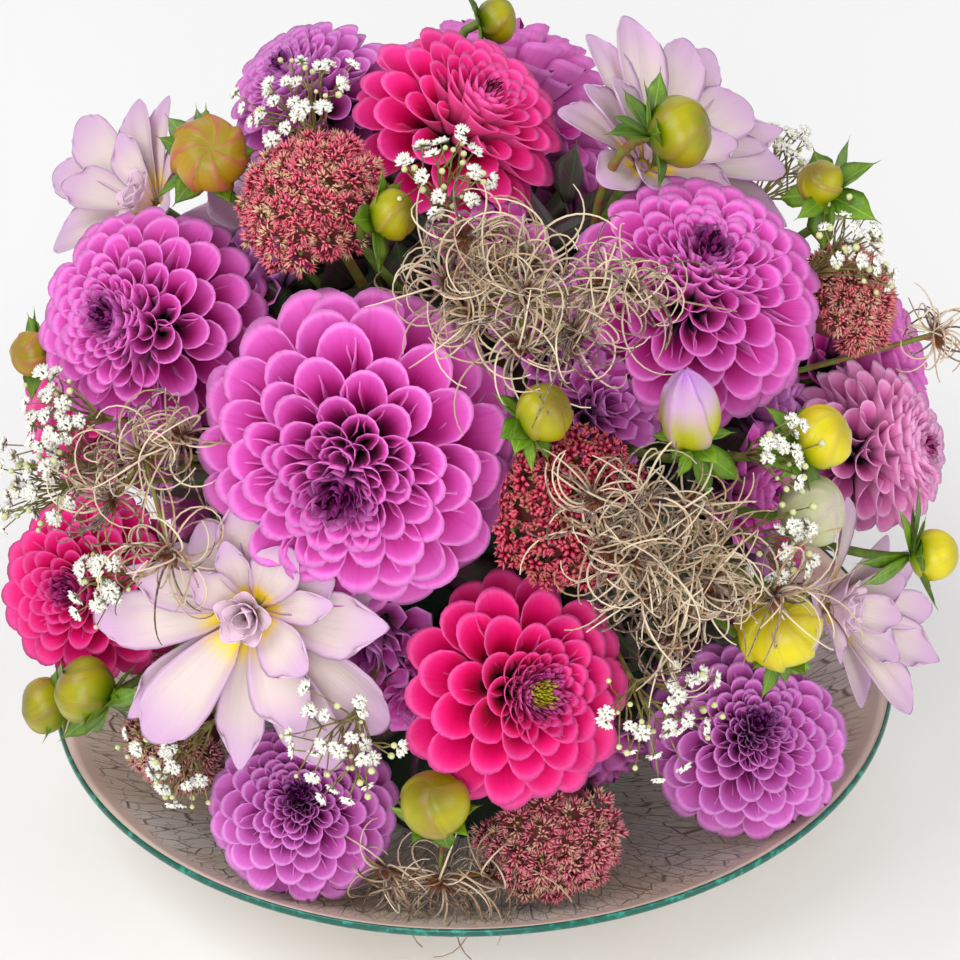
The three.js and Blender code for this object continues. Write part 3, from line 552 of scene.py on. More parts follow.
# where each head sits: bearing, height and reach, its radius, and the way it looks
bloomPlan = numbered('orchid_ball', [
    ('ball', 'orchid', -20, 32, 118, 53, -9, 11),
    ('ball', 'orchid', 57, 45, 124, 43, 20, 62),
    ('ball', 'orchid', -73, 35, 130, 40, -35, 33),
    ('ball', 'violet', 50, -29, 137, 35, 10, 48),
    ('ball', 'violet', -29, -30, 138, 32, -2, 48),
    ('ball', 'violet', -115, 68, 138, 30, -62, 56),
    ('ball', 'palePink', 79, 6, 138, 32, 66, 20),
    ('ball', 'orchid', 172, 43, 124, 46, 172, 46),
    ('ball', 'orchid', 102, 7, 132, 41, 104, 12),
    ('ball', 'violet', 168, -30, 136, 40, 168, -6),
    ('ball', 'violet', 176, 5, 132, 42, 176, 10),
    ('ball', 'orchid', -138, -25, 136, 40, -138, -2),
])
bloomPlan.update(numbered('magenta_bloom', [
    ('formal', 'hotPink', 0, 88, 130, 37, 60, 54),
    ('open', 'crimsonOpen', 6, -3, 129, 39, 29, 27),
    ('formal', 'crimson', -75, -11, 136, 34, -28, 30),
    ('formal', 'crimson', 124, -26, 134, 38, 124, 0),
    ('formal', 'hotPink', -108, 3, 132, 41, -108, 12),
]))
bloomPlan.update(numbered('white_waterlily', [
    ('lily', 'white', -41, 0, 124, 51, -34, 10),
    ('lily', 'white', 123, 50, 128, 50, 112, 52),
    ('lily', 'white', -111, 40, 132, 49, -108, 38),
    ('lily', 'white', 72, -15, 140, 40, 74, -4),
    ('lily', 'white', 139, 12, 132, 47, 139, 18),
    ('lily', 'white', -147, 14, 130, 47, -147, 20),
]))
budPlan = numbered('bud', [
    ('budOchre', -73, 58, 158, 13, 10, 40, 17),
    ('budGreen', -17, 62, 151, 8.5, 72, 22, 17),
    ('budGreen', 163, 71, 153, 8, 96, 6, 13),
    ('budGreen', 65, 61, 162, 12, 80, 12, 17),
    ('budGreen', 11, 36.5, 157, 9.5, 62, 40, 13),
    ('budOpening', 31, 32, 158, 12, -18, 74, 13),
    ('budYellow', 51, 23, 158, 10.5, 76, 34, 18),
    ('budGreen', 80, 44, 166, 8, -60, 60, 19),
    ('budYellow', 66, 0, 168, 9, 84, 6, 19),
    ('budYellow', 38, 4, 158, 14, 0, 66, 15),
    ('budGreen', -5, -12, 157, 11.5, -6, 70, 14),
    ('budGreen', -57, -12, 158, 11.5, -100, 30, 14),
    ('budOchre', -90, 18, 155, 8, -50, 26, 17),
    ('budCream', 49, 14, 150, 12.5, 58, 24, 9),
    ('budGreen', -67, -19, 168, 10, -86, 8, 15),
])
stonecropPlan = numbered('stonecrop', [
    ('stonecropPink', -46, 63, 140, 24), ('stonecropRed', 15, 24, 134, 25),
    ('stonecropRose', 12, -34, 139, 24), ('stonecropGreen', -56, -29, 140, 18),
    ('stonecropSalmon', 81, 29, 147, 18), ('stonecropRed', 146, -31, 138, 25),
    ('stonecropPink', -103, -30, 138, 27),
])
breathPlan = numbered('babys_breath', [
    (-72, 70, 164, 19, 6), (-5, 66, 161, 15, 5),
    (76, 36, 168, 17, 6), (-61, 17, 166, 20, 6),
    (-43, -18, 160, 15, 5), (-15, -3, 165, 20, 6),
    (21, -1, 164, 21, 6), (122, 27, 162, 19, 6),
])
clematisPlan = numbered('clematis', [
    [(11, 50, 157), (1, 58, 156), (23, 49, 162)],
    [(29, 14, 158), (19, 19, 160), (37, 9, 160)],
    [(-46, 25, 156), (-38, 16, 158)],
    [(80, 21, 170)],
    [(-6, -34, 152)],
])
# stems planted a little to one side, so that they pass their neighbours
plantedAside = {
    'bud_5': (19, 38), 'bud_8': (88, 46), 'bud_12': (-60, -20), 'babys_breath_3': (85, 39),
    'babys_breath_5': (-42, -28), 'babys_breath_7': (26, -4), 'babys_breath_8': (118, 28),
    'clematis_3': (-50, 23),
}


# a head looks out of the ball where no other way is given
class Head:
    def __init__(self, name, bearing, height, reach, radius, *facing):
        self.radius, self.overlap = radius * mm, 0
        self.planted = plantedAside.get(name, (bearing, height))
        self.centre = placeAt(bearing, height, reach)
        self.axis = wayTo(*(facing or (bearing, height)))
        self.frame = upward.rotation_difference(self.axis).to_matrix()

    def out(self, angle, turn):
        flat = math.sin(angle)
        return self.frame @ Vector((math.cos(turn) * flat, math.sin(turn) * flat, math.cos(angle)))

    def stemLine(self, end):
        radial = wayTo(*self.planted)
        start, out = [ballCentre + radial * (ball[key] * mm) for key in ('plantedFrom', 'plantedTo')]
        back = end - self.axis * (ball['bend'] * (end - out).length)
        shares = [k / (ball['stemPoints'] - 1) for k in range(ball['stemPoints'])]
        return [start] + [out * (1 - t) ** 2 + back * (2 * t * (1 - t)) + end * t ** 2 for t in shares]


# the radius of each kind of stem at its start and at its end, in millimetres
stems = {'bloom': (2.2, 2.6), 'bud': (1.4, 1.7), 'dome': (1.9, 1.7), 'stalk': (0.9, 0.7), 'spray': (1.3, 0.9),
         'branch': (0.5, 0.4), 'twig': (0.34, 0.26), 'vine': (1.1, 0.9), 'offshoot': (0.8, 0.7)}
# how heads give way, in millimetres: how far past the plane between them, how softly, and how
# clear of the buds and the glass; then the share of the way at which each kind starts to give
pressed = {'lilyOverlap': 24, 'overlap': 2, 'behind': 4, 'room': 2, 'budShare': 1.06, 'overGlass': 1.5,
           'pastRim': 6, 'lily': 0.9, 'dahlia': 0.75, 'dome': 0.85, 'core': 0.7}
blooms = {name: Head(name, *spec[2:]) for name, spec in bloomPlan.items()}
for name, spec in bloomPlan.items():
    blooms[name].overlap = pressed['lilyOverlap' if spec[0] == 'lily' else 'overlap']
buds = {name: Head(name, *spec[1:7]) for name, spec in budPlan.items()}
domes = {name: Head(name, *spec[1:]) for name, spec in stonecropPlan.items()}
roundHeads = [*blooms.values(), *domes.values()]


def wallHeight(r):
    t = np.clip((r / mm - dish['footRadius']) / (dish['rimRadius'] - dish['footRadius']), 0, 1)
    rise = dish['wallStart'] * t + (1 - dish['wallStart']) * t * t
    return (dish['glass'] + (dish['height'] - dish['glass']) * rise) * mm


# soft heads give way to each other, to the buds and to the dish
def pressBack(mesh, head, kind):
    co = np.empty(len(mesh.vertices) * 3)
    mesh.vertices.foreach_get('co', co)
    co = co.reshape(-1, 3)
    centre = np.array(head.centre)
    for other in roundHeads:
        apart = other.centre - head.centre
        far = apart.length
        if other is head or far > head.radius + other.radius:
            continue
        normal = np.array(apart.normalized())
        limit = (far ** 2 + head.radius ** 2 - other.radius ** 2) / (2 * far) + head.overlap * mm
        start = limit * pressed[kind] if limit > 0 else limit - pressed['behind'] * mm
        room = max(limit - start, pressed['room'] * mm)
        over = np.clip((co - centre) @ normal - start, 0, None)
        co -= np.outer(over - room * np.tanh(over / room), normal)
    for bud in buds.values():
        away = co - np.array(bud.centre)
        far = np.linalg.norm(away, axis=1, keepdims=True)
        keep = bud.radius * pressed['budShare']
        co = np.where(far < keep, np.array(bud.centre) + away / far * keep, co)
    flat = np.hypot(co[:, 0], co[:, 1])
    floorHeight = wallHeight(flat) + pressed['overGlass'] * mm
    low = (flat < (dish['rimRadius'] + pressed['pastRim']) * mm) & (co[:, 2] < floorHeight)
    co[low, 2] = floorHeight[low]
    mesh.vertices.foreach_set('co', co.ravel())
    mesh.update()
    return mesh


# dahlias: petals on a golden spiral, narrow and rolled at the eye, wide behind
ballBloom = dict(
    widthAt=(0, 6, 12, 22, 36, 52, 75, 130), width=(0.06, 0.08, 0.12, 0.17, 0.24, 0.3, 0.35, 0.38),
    spacing=(0.6, 0.6, 0.62, 0.66, 0.72, 0.79, 0.84, 0.86), last=128, depth=0.8, rootShare=0.1,
    rootDrop=-0.1, formEnds=(9, 17, 30, 50, 82),
)
formalBloom = dict(
    widthAt=(0, 6, 14, 26, 42, 62, 90, 130), width=(0.06, 0.09, 0.15, 0.24, 0.34, 0.41, 0.46, 0.47),
    spacing=(0.6, 0.6, 0.62, 0.66, 0.7, 0.74, 0.78, 0.8), last=118, depth=0.68, rootShare=0.1,
    rootDrop=-0.15, formEnds=(12, 30, 56),
)
openBloom = dict(
    widthAt=(0, 8, 20, 28, 38, 50, 80, 130), width=(0.045, 0.06, 0.1, 0.17, 0.3, 0.4, 0.45, 0.45),
    spacing=(0.62, 0.62, 0.62, 0.66, 0.7, 0.72, 0.74, 0.74), last=106, depth=0.55, rootShare=0.1,
    rootDrop=-0.2, formEnds=(24, 36, 58),
)


def petalPlace(head, root, tip, width, form, ring, deep=1.0, facing=None):
    z = (tip - root).normalized()
    facing = facing or head.axis
    x = facing.cross(z)
    x = x.normalized() if x.length > 1e-4 else sideways(z)[0]
    y = z.cross(x)
    if y.dot(facing) < 0:
        x, y = -x, -y
    return root, (x, y, z), (width, width * deep, (tip - root).length), form, ring


def spiralBloom(head, spec, forms, finish, seed):
    chance = random.Random(seed)
    places = []
    angle, k = 2.0, chance.randrange(20)
    while angle < spec['last']:
        width = float(np.interp(angle, spec['widthAt'], spec['width'])) * chance.uniform(0.94, 1.06)
        theta, turn = math.radians(angle), k * goldenTurn + chance.uniform(-0.1, 0.1)
        depth = spec['depth'] + (1 - spec['depth']) * math.sin(min(theta, math.pi / 2)) ** 2
        tip = head.centre + head.out(theta, turn) * head.radius * depth * chance.uniform(0.97, 1.02)
        rootWay = head.out(min(theta * 1.1, 2.4), turn) * spec['rootShare']
        root = head.centre + (rootWay + head.axis * spec['rootDrop']) * head.radius
        form = sum(angle > end for end in spec['formEnds'])
        places.append(petalPlace(head, root, tip, width * head.radius, form, angle / spec['last']))
        spacing = float(np.interp(angle, spec['widthAt'], spec['spacing']))
        angle += math.degrees(spacing * width ** 2 / (2 * math.pi * max(math.sin(theta), 0.04)))
        k += 1
    return setOut(places, forms, finish, 0.05, seed)


# waterlily dahlias: each long petal that shows is aimed at its place on the ball,
# by the bearing, height and reach of its tip, then its width in millimetres and its form
lilyAims = numbered('white_waterlily', [
    {'eye': (-29.5, 9, 143), 'face': (-17, 18), 'petals': [
        (-45.5, 12, 142, 20, 2), (-29, 19, 134, 18, 2), (-14, 13.5, 129, 20, 2), (-44, -7.5, 164, 17, 3),
        (-48.5, 3.5, 163, 21, 2), (-45, 11.5, 158, 17, 3), (-38.5, 19, 143, 20, 2), (-30, -12.5, 156, 18, 3),
        (-17.5, -10.5, 150, 22, 2), (-11.5, -6, 141, 26, 2), (-11, 9, 138, 24, 3), (-39.5, -8, 167, 23, 2),
        (-21, -5, 153, 22, 3), (-20, 4.5, 152, 19, 4), (-17.5, 13, 146, 12, 4), (-36, 13.5, 154, 14, 4),
        (-32.5, 18.5, 150, 12, 4), (-24, 19, 145, 18, 2), (-33, 24, 144, 18, 3), (-18.5, 16, 141, 16, 2)]},
    {'eye': (76.5, 62.5, 138), 'face': (72, 52), 'petals': [
        (107.5, 73, 162, 21, 2), (118.5, 66.5, 166, 23, 2), (118, 57.5, 165, 20, 2), (120, 52, 164, 18, 2),
        (109, 48.5, 159, 23, 2), (110, 42, 158, 19, 3), (99.5, 42.5, 151, 22, 2), (94, 38, 140, 20, 2),
        (91, 52.5, 152, 17, 4), (67.5, 73.5, 158, 17, 4), (79.5, 71, 159, 16, 4), (71.5, 76, 144, 20, 2),
        (52, 65.5, 138, 18, 2), (60, 60, 142, 16, 4), (78, 50, 144, 18, 4), (128, 62, 152, 20, 2)]},
    {'eye': (-108, 37.5, 140), 'face': (-78, 40), 'petals': [
        (-124.5, 42, 164, 17, 2), (-124.5, 37.5, 172, 19, 2), (-123.5, 29.5, 186, 20, 2),
        (-120, 24, 184, 19, 2), (-115, 27, 173, 17, 4), (-114.5, 19, 168, 22, 2), (-109, 18.5, 152, 20, 2),
        (-122, 47.5, 151, 18, 2), (-116.5, 37.5, 166, 15, 4), (-98, 22, 146, 18, 2), (-104, 52, 148, 18, 2),
        (-92, 46, 140, 16, 2), (-94, 32, 142, 16, 4)]},
    {'eye': (59.5, -7, 140), 'face': (62, 4), 'petals': [
        (70, -7, 158, 18, 4), (76.5, -14.5, 169, 15, 2), (65.5, -9.5, 161, 14, 4), (75, -19.5, 179, 17, 3),
        (66, -15.5, 165, 14, 4), (70.5, -24.5, 177, 17, 2), (57, 1, 150, 12, 3), (56.5, -13, 151, 12, 3),
        (72, -3, 150, 18, 2), (66, -24, 162, 18, 2), (55, -2, 138, 16, 2), (80, -10, 160, 16, 2),
        (60, 10, 146, 15, 2), (52, -10, 140, 14, 2)]},
])
# the small petals round the eye: count, lift, length and width in millimetres, form
lilyHeart = [(5, 50, 13, 9, 4), (4, 66, 12, 8.5, 4), (3, 82, 11, 8, 1)]
# whorls of the blooms at the back: count, lift, length, width, height, form
lilyWhorls = [(9, -6, 1.04, 0.36, -0.1, 2), (8, 10, 1.02, 0.36, -0.02, 3), (7, 28, 0.84, 0.32, 0.02, 4)]


# where a petal starts, in millimetres or as a share of the bloom, and the ring and depth it gets
lilyShape = {'from': 3, 'sunk': 4, 'hub': 0.05, 'drop': 0.04, 'heartFrom': (2, 0.5), 'ring': 0.6,
             'heartRing': 0.05, 'deep': 0.8}


def lilyBloom(head, aims, forms, finish, seed):
    chance = random.Random(seed)
    ring, deep, hub = [lilyShape[key] for key in ('ring', 'deep', 'hub')]
    heartOut, heartStep = lilyShape['heartFrom']
    places = []
    for bearing, height, reach, width, form in (aims or {}).get('petals', []):
        tip = placeAt(bearing, height, reach)
        foot = head.centre + (tip - head.centre).normalized() * lilyShape['from'] * mm
        foot = foot - head.axis * lilyShape['sunk'] * mm
        places.append(petalPlace(head, foot, tip, width * mm, form, ring, deep))
    for i, (count, lift, length, width, raised, form) in enumerate([] if aims else lilyWhorls):
        for k in range(count):
            turn = (k + 0.5 * (i % 2) + chance.uniform(-0.1, 0.1)) / count * math.tau + seed
            theta = math.radians(90 - lift + chance.uniform(-4, 4))
            foot = head.centre + head.axis * (raised - lilyShape['drop']) * head.radius
            foot = foot + head.out(math.pi / 2, turn) * hub * head.radius
            tip = foot + head.out(theta, turn) * head.radius * (length * chance.uniform(0.92, 1.0) - hub)
            wide = width * head.radius * chance.uniform(1.05, 1.15)
            places.append(petalPlace(head, foot, tip, wide, form, ring, deep))
    for i, (count, lift, length, width, form) in enumerate(lilyHeart):
        for k in range(count):
            turn = (k + 0.5 * (i % 2) + chance.uniform(-0.15, 0.15)) / count * math.tau
            foot = head.centre + head.out(math.pi / 2, turn) * (heartOut - heartStep * i) * mm
            way = head.out(math.radians(90 - lift), turn)
            tip = foot + way * length * mm * chance.uniform(0.85, 1.05)
            places.append(petalPlace(head, foot, tip, width * mm, form, lilyShape['heartRing'], deep))
    return setOut(places, forms, finish, 0.02, seed)


# where a bloom's stem ends in it, and how far one turns away before its petals are plainer
gathered = {'stemEnd': 0.12, 'turnedAway': 0.25}
# how finely petals are cut: the columns, and the shares of the length at the rows
grains = {'small': (4, (0, 0.5, 0.8, 1)), 'middling': (8, (0, 0.45, 0.72, 0.9, 1)),
          'outer': (10, (0, 0.5, 0.76, 0.92, 1)), 'large': (12, (0, 0.45, 0.68, 0.84, 0.94, 1)),
          'long': (12, (0, 0.1, 0.25, 0.42, 0.6, 0.77, 0.9, 0.97, 1)), 'quick': (4, (0, 0.4, 0.7, 0.9, 1))}


def gather(name, forms, fineness):
    return formCollection(name, [petalForm(f'{name}{i}', form, *grains[fine])
                                 for i, (form, fine) in enumerate(zip(forms, fineness.split()))])


# blooms that look to the back have plainer petals
def makeBlooms():
    quills = gather('quill', quillForms, 'small small middling outer large outer')
    opens = gather('open', openForms, 'small middling large outer')
    rearQuills = gather('rearQuill', quillForms, 'small small small middling middling middling')
    rearOpens = gather('rearOpen', openForms, 'small small middling middling')
    lilies = gather('lily', lilyForms, 'small middling long long long')
    kinds = {'ball': (ballBloom, quills, rearQuills), 'formal': (formalBloom, opens, rearOpens),
             'open': (openBloom, opens, rearOpens)}
    for i, (name, spec) in enumerate(bloomPlan.items()):
        head, isLily, finish = blooms[name], spec[0] == 'lily', finishes[spec[1]]
        if isLily:
            aims = lilyAims.get(name)
            if aims:
                head = Head(name, *aims['eye'], spec[5], *aims['face'])
            petals = lilyBloom(head, aims, lilies, finish, i + 1)
        else:
            bloom, fine, plain = kinds[spec[0]]
            forms = fine if head.axis.y < gathered['turnedAway'] else plain
            petals = spiralBloom(head, bloom, forms, finish, i + 1)
        if name not in lilyAims:
            pressBack(petals, head, 'lily' if isLily else 'dahlia')
        end = head.centre - head.axis * gathered['stemEnd'] * head.radius
        stem = tubes([(head.stemLine(end), *stems['bloom'])], finishes['stemGreen'], 8)
        piece(f'{name}_petals', [petals, stem], name)


makeBlooms()
print('blooms made')


# a leaf or sepal of unit length and width, creased along its middle
def leafForm(name, tipPower=1.2, bow=0.25, crease=0.25, thick=0.05):
    u, v = np.meshgrid(np.linspace(-1, 1, 5), np.array((0, 0.15, 0.35, 0.6, 0.82, 1)))
    s = v * (1 - 0.3 * np.abs(u) ** tipPower * v ** 2)
    half = 0.5 * np.interp(v, (0, 0.15, 0.45, 0.7, 0.9, 1), (0.2, 0.62, 1.0, 0.92, 0.55, 0.1))
    y = crease * half * np.abs(u) - bow * s ** 2
    return closedSheet(name, np.stack([u * half, y, s], axis=2), u, v, thick)

leaves = formCollection('leaf', [leafForm('leaf0', 1.2, 0.25, 0.25), leafForm('leaf1', 1.1, 0.45, 0.4),
                                 leafForm('leaf2', 1.3, -0.1, 0.3)])


# a bud: one closed skin whose wraps are low steps that wind up to the top
def budForm(name, form):
    columns, rows = 60, 20
    points, along, across = [(0, 0, 0)], [1.0], [0.0]
    for j in range(1, rows):
        v = j / rows
        polar = math.pi * v
        for k in range(columns):
            lon = math.tau * k / columns
            phase = (form['wraps'] * k / columns + form['wind'] * (1 - v) ** 2) % 1
            dimple = form['dimple'] * math.exp(-(polar / 0.3) ** 2)
            r = 1 + form['step'] * (phase ** 1.5 - 0.5) * min(1, 3 * v) - dimple
            flat = r * math.sin(polar) ** form['taper'] if v < 0.5 else r * math.sin(polar)
            tall = form['tall'] if v < 0.5 else 0.88
            points.append((flat * math.cos(lon), flat * math.sin(lon), r * math.cos(polar) * tall))
            along.append(1 - v)
            across.append(phase)
    points[0] = (0, 0, form['tall'] * (1 - form['dimple']))
    points.append((0, 0, -0.88))
    along.append(0.0)
    across.append(0.0)
    ring = lambda j, k: 1 + (j - 1) * columns + k % columns
    faces = [(0, ring(1, k), ring(1, k + 1)) for k in range(columns)]
    faces += [(len(points) - 1, ring(rows - 1, k + 1), ring(rows - 1, k)) for k in range(columns)]
    faces += [(ring(j, k), ring(j + 1, k), ring(j + 1, k + 1), ring(j, k + 1))
              for j in range(1, rows - 1) for k in range(columns)]
    return meshFrom(name, points, faces, {'along': along, 'across': across})


roundBud = {'wraps': 5, 'wind': 1.4, 'dimple': 0.05, 'step': 0.09, 'taper': 1.0, 'tall': 0.84}
budForms = formCollection('bud', [
    budForm('bud0', roundBud),
    budForm('bud1', {**roundBud, 'wraps': 7, 'wind': 0.9, 'dimple': 0.16, 'step': 0.13, 'tall': 0.76}),
    budForm('bud2', {**roundBud, 'wind': 0.3, 'dimple': 0.0, 'step': 0.16, 'taper': 1.5, 'tall': 1.9}),
    budForm('bud3', {**roundBud, 'wraps': 3, 'wind': 0.5, 'dimple': 0.0, 'tall': 0.95}),
])
budShape = {'sepals': 5, 'sepalWidth': 0.6, 'skin': 0.98, 'foot': 0.84, 'stemEnd': 0.82,
            'reach': 0.2, 'turn': (0.1, 0.4), 'lift': (-5, 35),
            'forms': {'bud_1': 1, 'bud_6': 2, 'bud_10': 1, 'bud_11': 3, 'bud_9': 3},
            'slim': {'bud_6': 0.8, 'bud_14': 0.95}}
# leaves beside the buds: bearing, height and reach of the tip, and the width in millimetres
budLeaves = {
    'bud_1': [(-82, 47.5, 152, 10), (-115, 45.5, 158, 8), (-119.5, 48.5, 155, 7), (-68, 59, 148, 9)],
    'bud_4': [(50.5, 67.5, 158, 8), (75.5, 70, 160, 9), (94, 66, 162, 8), (51.5, 68, 164, 6),
              (71, 62.5, 166, 7)],
    'bud_5': [(4, 34, 156, 9), (6, 31.5, 157, 8), (8.5, 29.5, 156, 4)],
    'bud_6': [(27.5, 25.5, 157, 6), (30.5, 22, 158, 7), (38, 21.5, 152, 9)],
    'bud_7': [(38.5, 27, 156, 9), (43.5, 21, 158, 10), (39.5, 23.5, 156, 9), (45.5, 26.5, 152, 9)],
    'bud_8': [(104, 35.5, 174, 5), (101.5, 31.5, 169, 6), (68.5, 44.5, 164, 7), (76, 41.5, 163, 7)],
    'bud_9': [(61, 12, 170, 6), (57.5, 13, 168, 5), (62.5, 8.5, 170, 6), (48.5, 4.5, 168, 7),
              (49.5, 9.5, 166, 5)],
    'bud_10': [(34, -4, 160, 9), (44.5, -5.5, 160, 9), (39.5, -5, 160, 8)],
    'bud_11': [(-11, -12.5, 160, 8), (-8, -17.5, 158, 6), (-3.5, -22, 158, 8)],
    'bud_12': [(-63, -24.5, 163, 7), (-64, -23, 168, 8), (-44.5, -5, 158, 7)],
    'bud_13': [(-95, 21.5, 160, 8), (-74, 30.5, 160, 9), (-83.5, 29.5, 160, 6)],
    'bud_15': [(-62.5, -12, 166, 9), (-64, -23, 168, 9), (-66.5, -20, 170, 8), (-55, -6, 166, 8),
               (-68, -18.5, 169, 7)],
}


def makeBuds():
    for i, (name, spec) in enumerate(budPlan.items()):
        head = buds[name]
        chance = random.Random(40 + i)
        x = head.frame @ between(Vector((1, 0, 0)), Vector((0, 1, 0)), chance.uniform(0, math.tau))
        tall = head.radius * budShape['skin']
        wide = tall * budShape['slim'].get(name, 1.0)
        form = budShape['forms'].get(name, 0)
        skin = setOut([(head.centre, (x, head.axis.cross(x), head.axis), (wide, wide, tall), form, 0.5)],
                      budForms, finishes[spec[0]], 0.0, i)
        sepals = []
        foot = head.centre - head.axis * budShape['foot'] * head.radius
        for k in range(budShape['sepals']):
            turn = (k + chance.uniform(*budShape['turn'])) / budShape['sepals'] * math.tau
            lift = math.radians(chance.uniform(*budShape['lift']))
            far = spec[7] * mm + budShape['reach'] * head.radius
            tip = foot + head.out(math.pi / 2 - lift, turn) * far
            width = spec[7] * mm * budShape['sepalWidth']
            sepals.append(petalPlace(head, foot, tip, width, chance.randrange(3), 0.5))
        for bearing, height, reach, width in budLeaves.get(name, []):
            sepals.append(petalPlace(head, foot, placeAt(bearing, height, reach), width * mm,
                                     chance.randrange(3), 0.5, facing=wayTo(bearing, height)))
        green = setOut(sepals, leaves, finishes['sepal'], 0.1, i)
        line = head.stemLine(head.centre - head.axis * budShape['stemEnd'] * head.radius)
        stem = tubes([(line, *stems['bud'])], finishes['stemRed' if name == 'bud_4' else 'stemGreen'], 8)
        piece(f'{name}_wraps', [skin, green, stem], name)


makeBuds()
print('buds made')


# stonecrop: clusters of slender pointed florets on short stalks
def floretForm(name, petals, half, lifts):
    points, faces, along = [], [], []
    for k in range(petals):
        turn, lift = k / petals * math.tau, lifts[k % len(lifts)]
        out = Vector((math.cos(turn) * math.cos(lift), math.sin(turn) * math.cos(lift), math.sin(lift)))
        side = Vector((-math.sin(turn), math.cos(turn), 0))
        up = out.cross(side)
        foot, base = out * 0.08, len(points)
        points += [foot, out * 0.5 - side * half, out, out * 0.5 + side * half, out * 0.5 + up * half * 0.7]
        along += [0, 0.5, 1, 0.5, 0.5]
        f, right, tip, left, ridge = range(base, base + 5)
        faces += [(f, right, ridge), (right, tip, ridge), (tip, left, ridge), (left, f, ridge),
                  (f, left, tip, right)]
    return meshFrom(name, points, faces, {'along': along})


# a closed round form, for the core of a stonecrop head and the buds of baby's breath
def roundForm(name, columns, rows):
    points = [(0, 0, 1), (0, 0, -1)]
    for j in range(1, rows):
        for k in range(columns):
            a, b = math.pi * j / rows, math.tau * (k + 0.5 * (j % 2)) / columns
            points.append((math.sin(a) * math.cos(b), math.sin(a) * math.sin(b), math.cos(a)))
    ring = lambda j, k: 2 + (j - 1) * columns + k % columns
    faces = []
    for k in range(columns):
        faces += [(0, ring(1, k), ring(1, k + 1)), (1, ring(rows - 1, k + 1), ring(rows - 1, k))]
        faces += [(ring(j, k), ring(j + 1, k), ring(j + 1, k + 1), ring(j, k + 1))
                  for j in range(1, rows - 1)]
    return meshFrom(name, points, faces, {'along': [0.1] * len(points)})


# stars lie open, tufts stand up in a brush; each cluster of florets is on its own stalk
clusterShape = {'clusters': 36, 'florets': 17, 'radius': 0.24, 'floret': 3.0, 'hub': 0.7, 'core': 0.66,
                'coreDrop': 0.2, 'starSize': 1.15, 'tuftSize': 1.2, 'tall': 1.15,
                'flat': 0.22, 'cover': 1.3, 'round': 1.25, 'knob': (0.76, 0.84), 'out': (0.55, 0.8),
                'sizes': (0.8, 1.1),
                'star': [(5, 0.3, (0.5,)), (5, 0.28, (0.9,)), (5, 0.24, (1.25, 1.1))],
                'tuft': [(7, 0.15, (0.7, 1.1)), (6, 0.17, (0.9, 1.25)), (7, 0.15, (0.5, 1.0, 1.3))]}


def makeStonecrops():
    forms = {kind: formCollection(kind, [floretForm(f'{kind}{i}', *row)
                                         for i, row in enumerate(clusterShape[kind])])
             for kind in ('star', 'tuft')}
    domeForms = formCollection('dome', [roundForm('dome0', 16, 10)])
    clusters, count = clusterShape['clusters'], clusterShape['florets']
    for i, (name, spec) in enumerate(stonecropPlan.items()):
        head = domes[name]
        chance = random.Random(70 + i)
        kind = 'star' if spec[0] == 'stonecropRed' else 'tuft'
        places, stalks = [], []
        hub = head.centre - head.axis * clusterShape['hub'] * head.radius
        for j in range(clusters):
            lump = head.out(math.acos(1 - clusterShape['cover'] * (j + 0.5) / clusters), j * goldenTurn + i)
            flat = 1 - clusterShape['flat'] * lump.dot(head.axis) ** 2
            knob = head.centre + lump * head.radius * flat * chance.uniform(*clusterShape['knob'])
            stalks.append(([hub, knob], *stems['stalk']))
            a, b = sideways(lump)
            for k in range(count):
                tilt = math.acos(1 - clusterShape['round'] * (k + 0.5) / count)
                z = between(a, b, k * goldenTurn) * math.sin(tilt) + lump * math.cos(tilt)
                size = clusterShape['floret'] * chance.uniform(*clusterShape['sizes'])
                size = size * clusterShape[f'{kind}Size'] * mm
                at = knob + z * head.radius * clusterShape['radius'] * chance.uniform(*clusterShape['out'])
                sizes = (size, size, size * clusterShape['tall'])
                places.append((at, (*sideways(z), z), sizes, chance.randrange(3), 0.5))
        florets = pressBack(setOut(places, forms[kind], finishes[spec[0]], 0.2, i), head, 'dome')
        stalks.append((head.stemLine(hub), *stems['dome']))
        twigs = pressBack(tubes(stalks, finishes['stemRed'], 5), head, 'dome')
        axes = (Vector(head.frame.col[0]), Vector(head.frame.col[1]), head.axis)
        middle = head.centre - head.axis * clusterShape['coreDrop'] * head.radius
        core = setOut([(middle, axes, (head.radius * clusterShape['core'],) * 3, 0, 0)], domeForms,
                      finishes['stonecropCore'], 0.0, i)
        piece(f'{name}_florets', [florets, twigs, pressBack(core, head, 'core')], name)


makeStonecrops()
print('stonecrop made')


# baby's breath: white ruffled florets and small buds on fine forking twigs
ruffle = {
    # rounds of petals: their count, their lift and their length
    'rounds': ((5, 0.15, 1.0), (5, 0.6, 0.85), (3, 1.1, 0.6)),
    # one petal's corners: along, across and up from it, and the share of its length
    'corners': ((0.0, 0.0, 0.0, 0.0), (0.65, -0.42, 0.16, 0.7), (0.65, 0.42, 0.1, 0.7),
                (1.0, -0.22, -0.08, 1.0), (0.86, 0.0, 0.12, 0.9), (1.0, 0.26, 0.02, 1.0),
                (0.5, 0.0, -0.14, 0.5)),
    'faces': ((0, 2, 4, 1), (1, 4, 3), (2, 5, 4), (0, 1, 6), (0, 6, 2), (1, 3, 6), (3, 4, 6), (4, 5, 6),
              (5, 2, 6)),
}


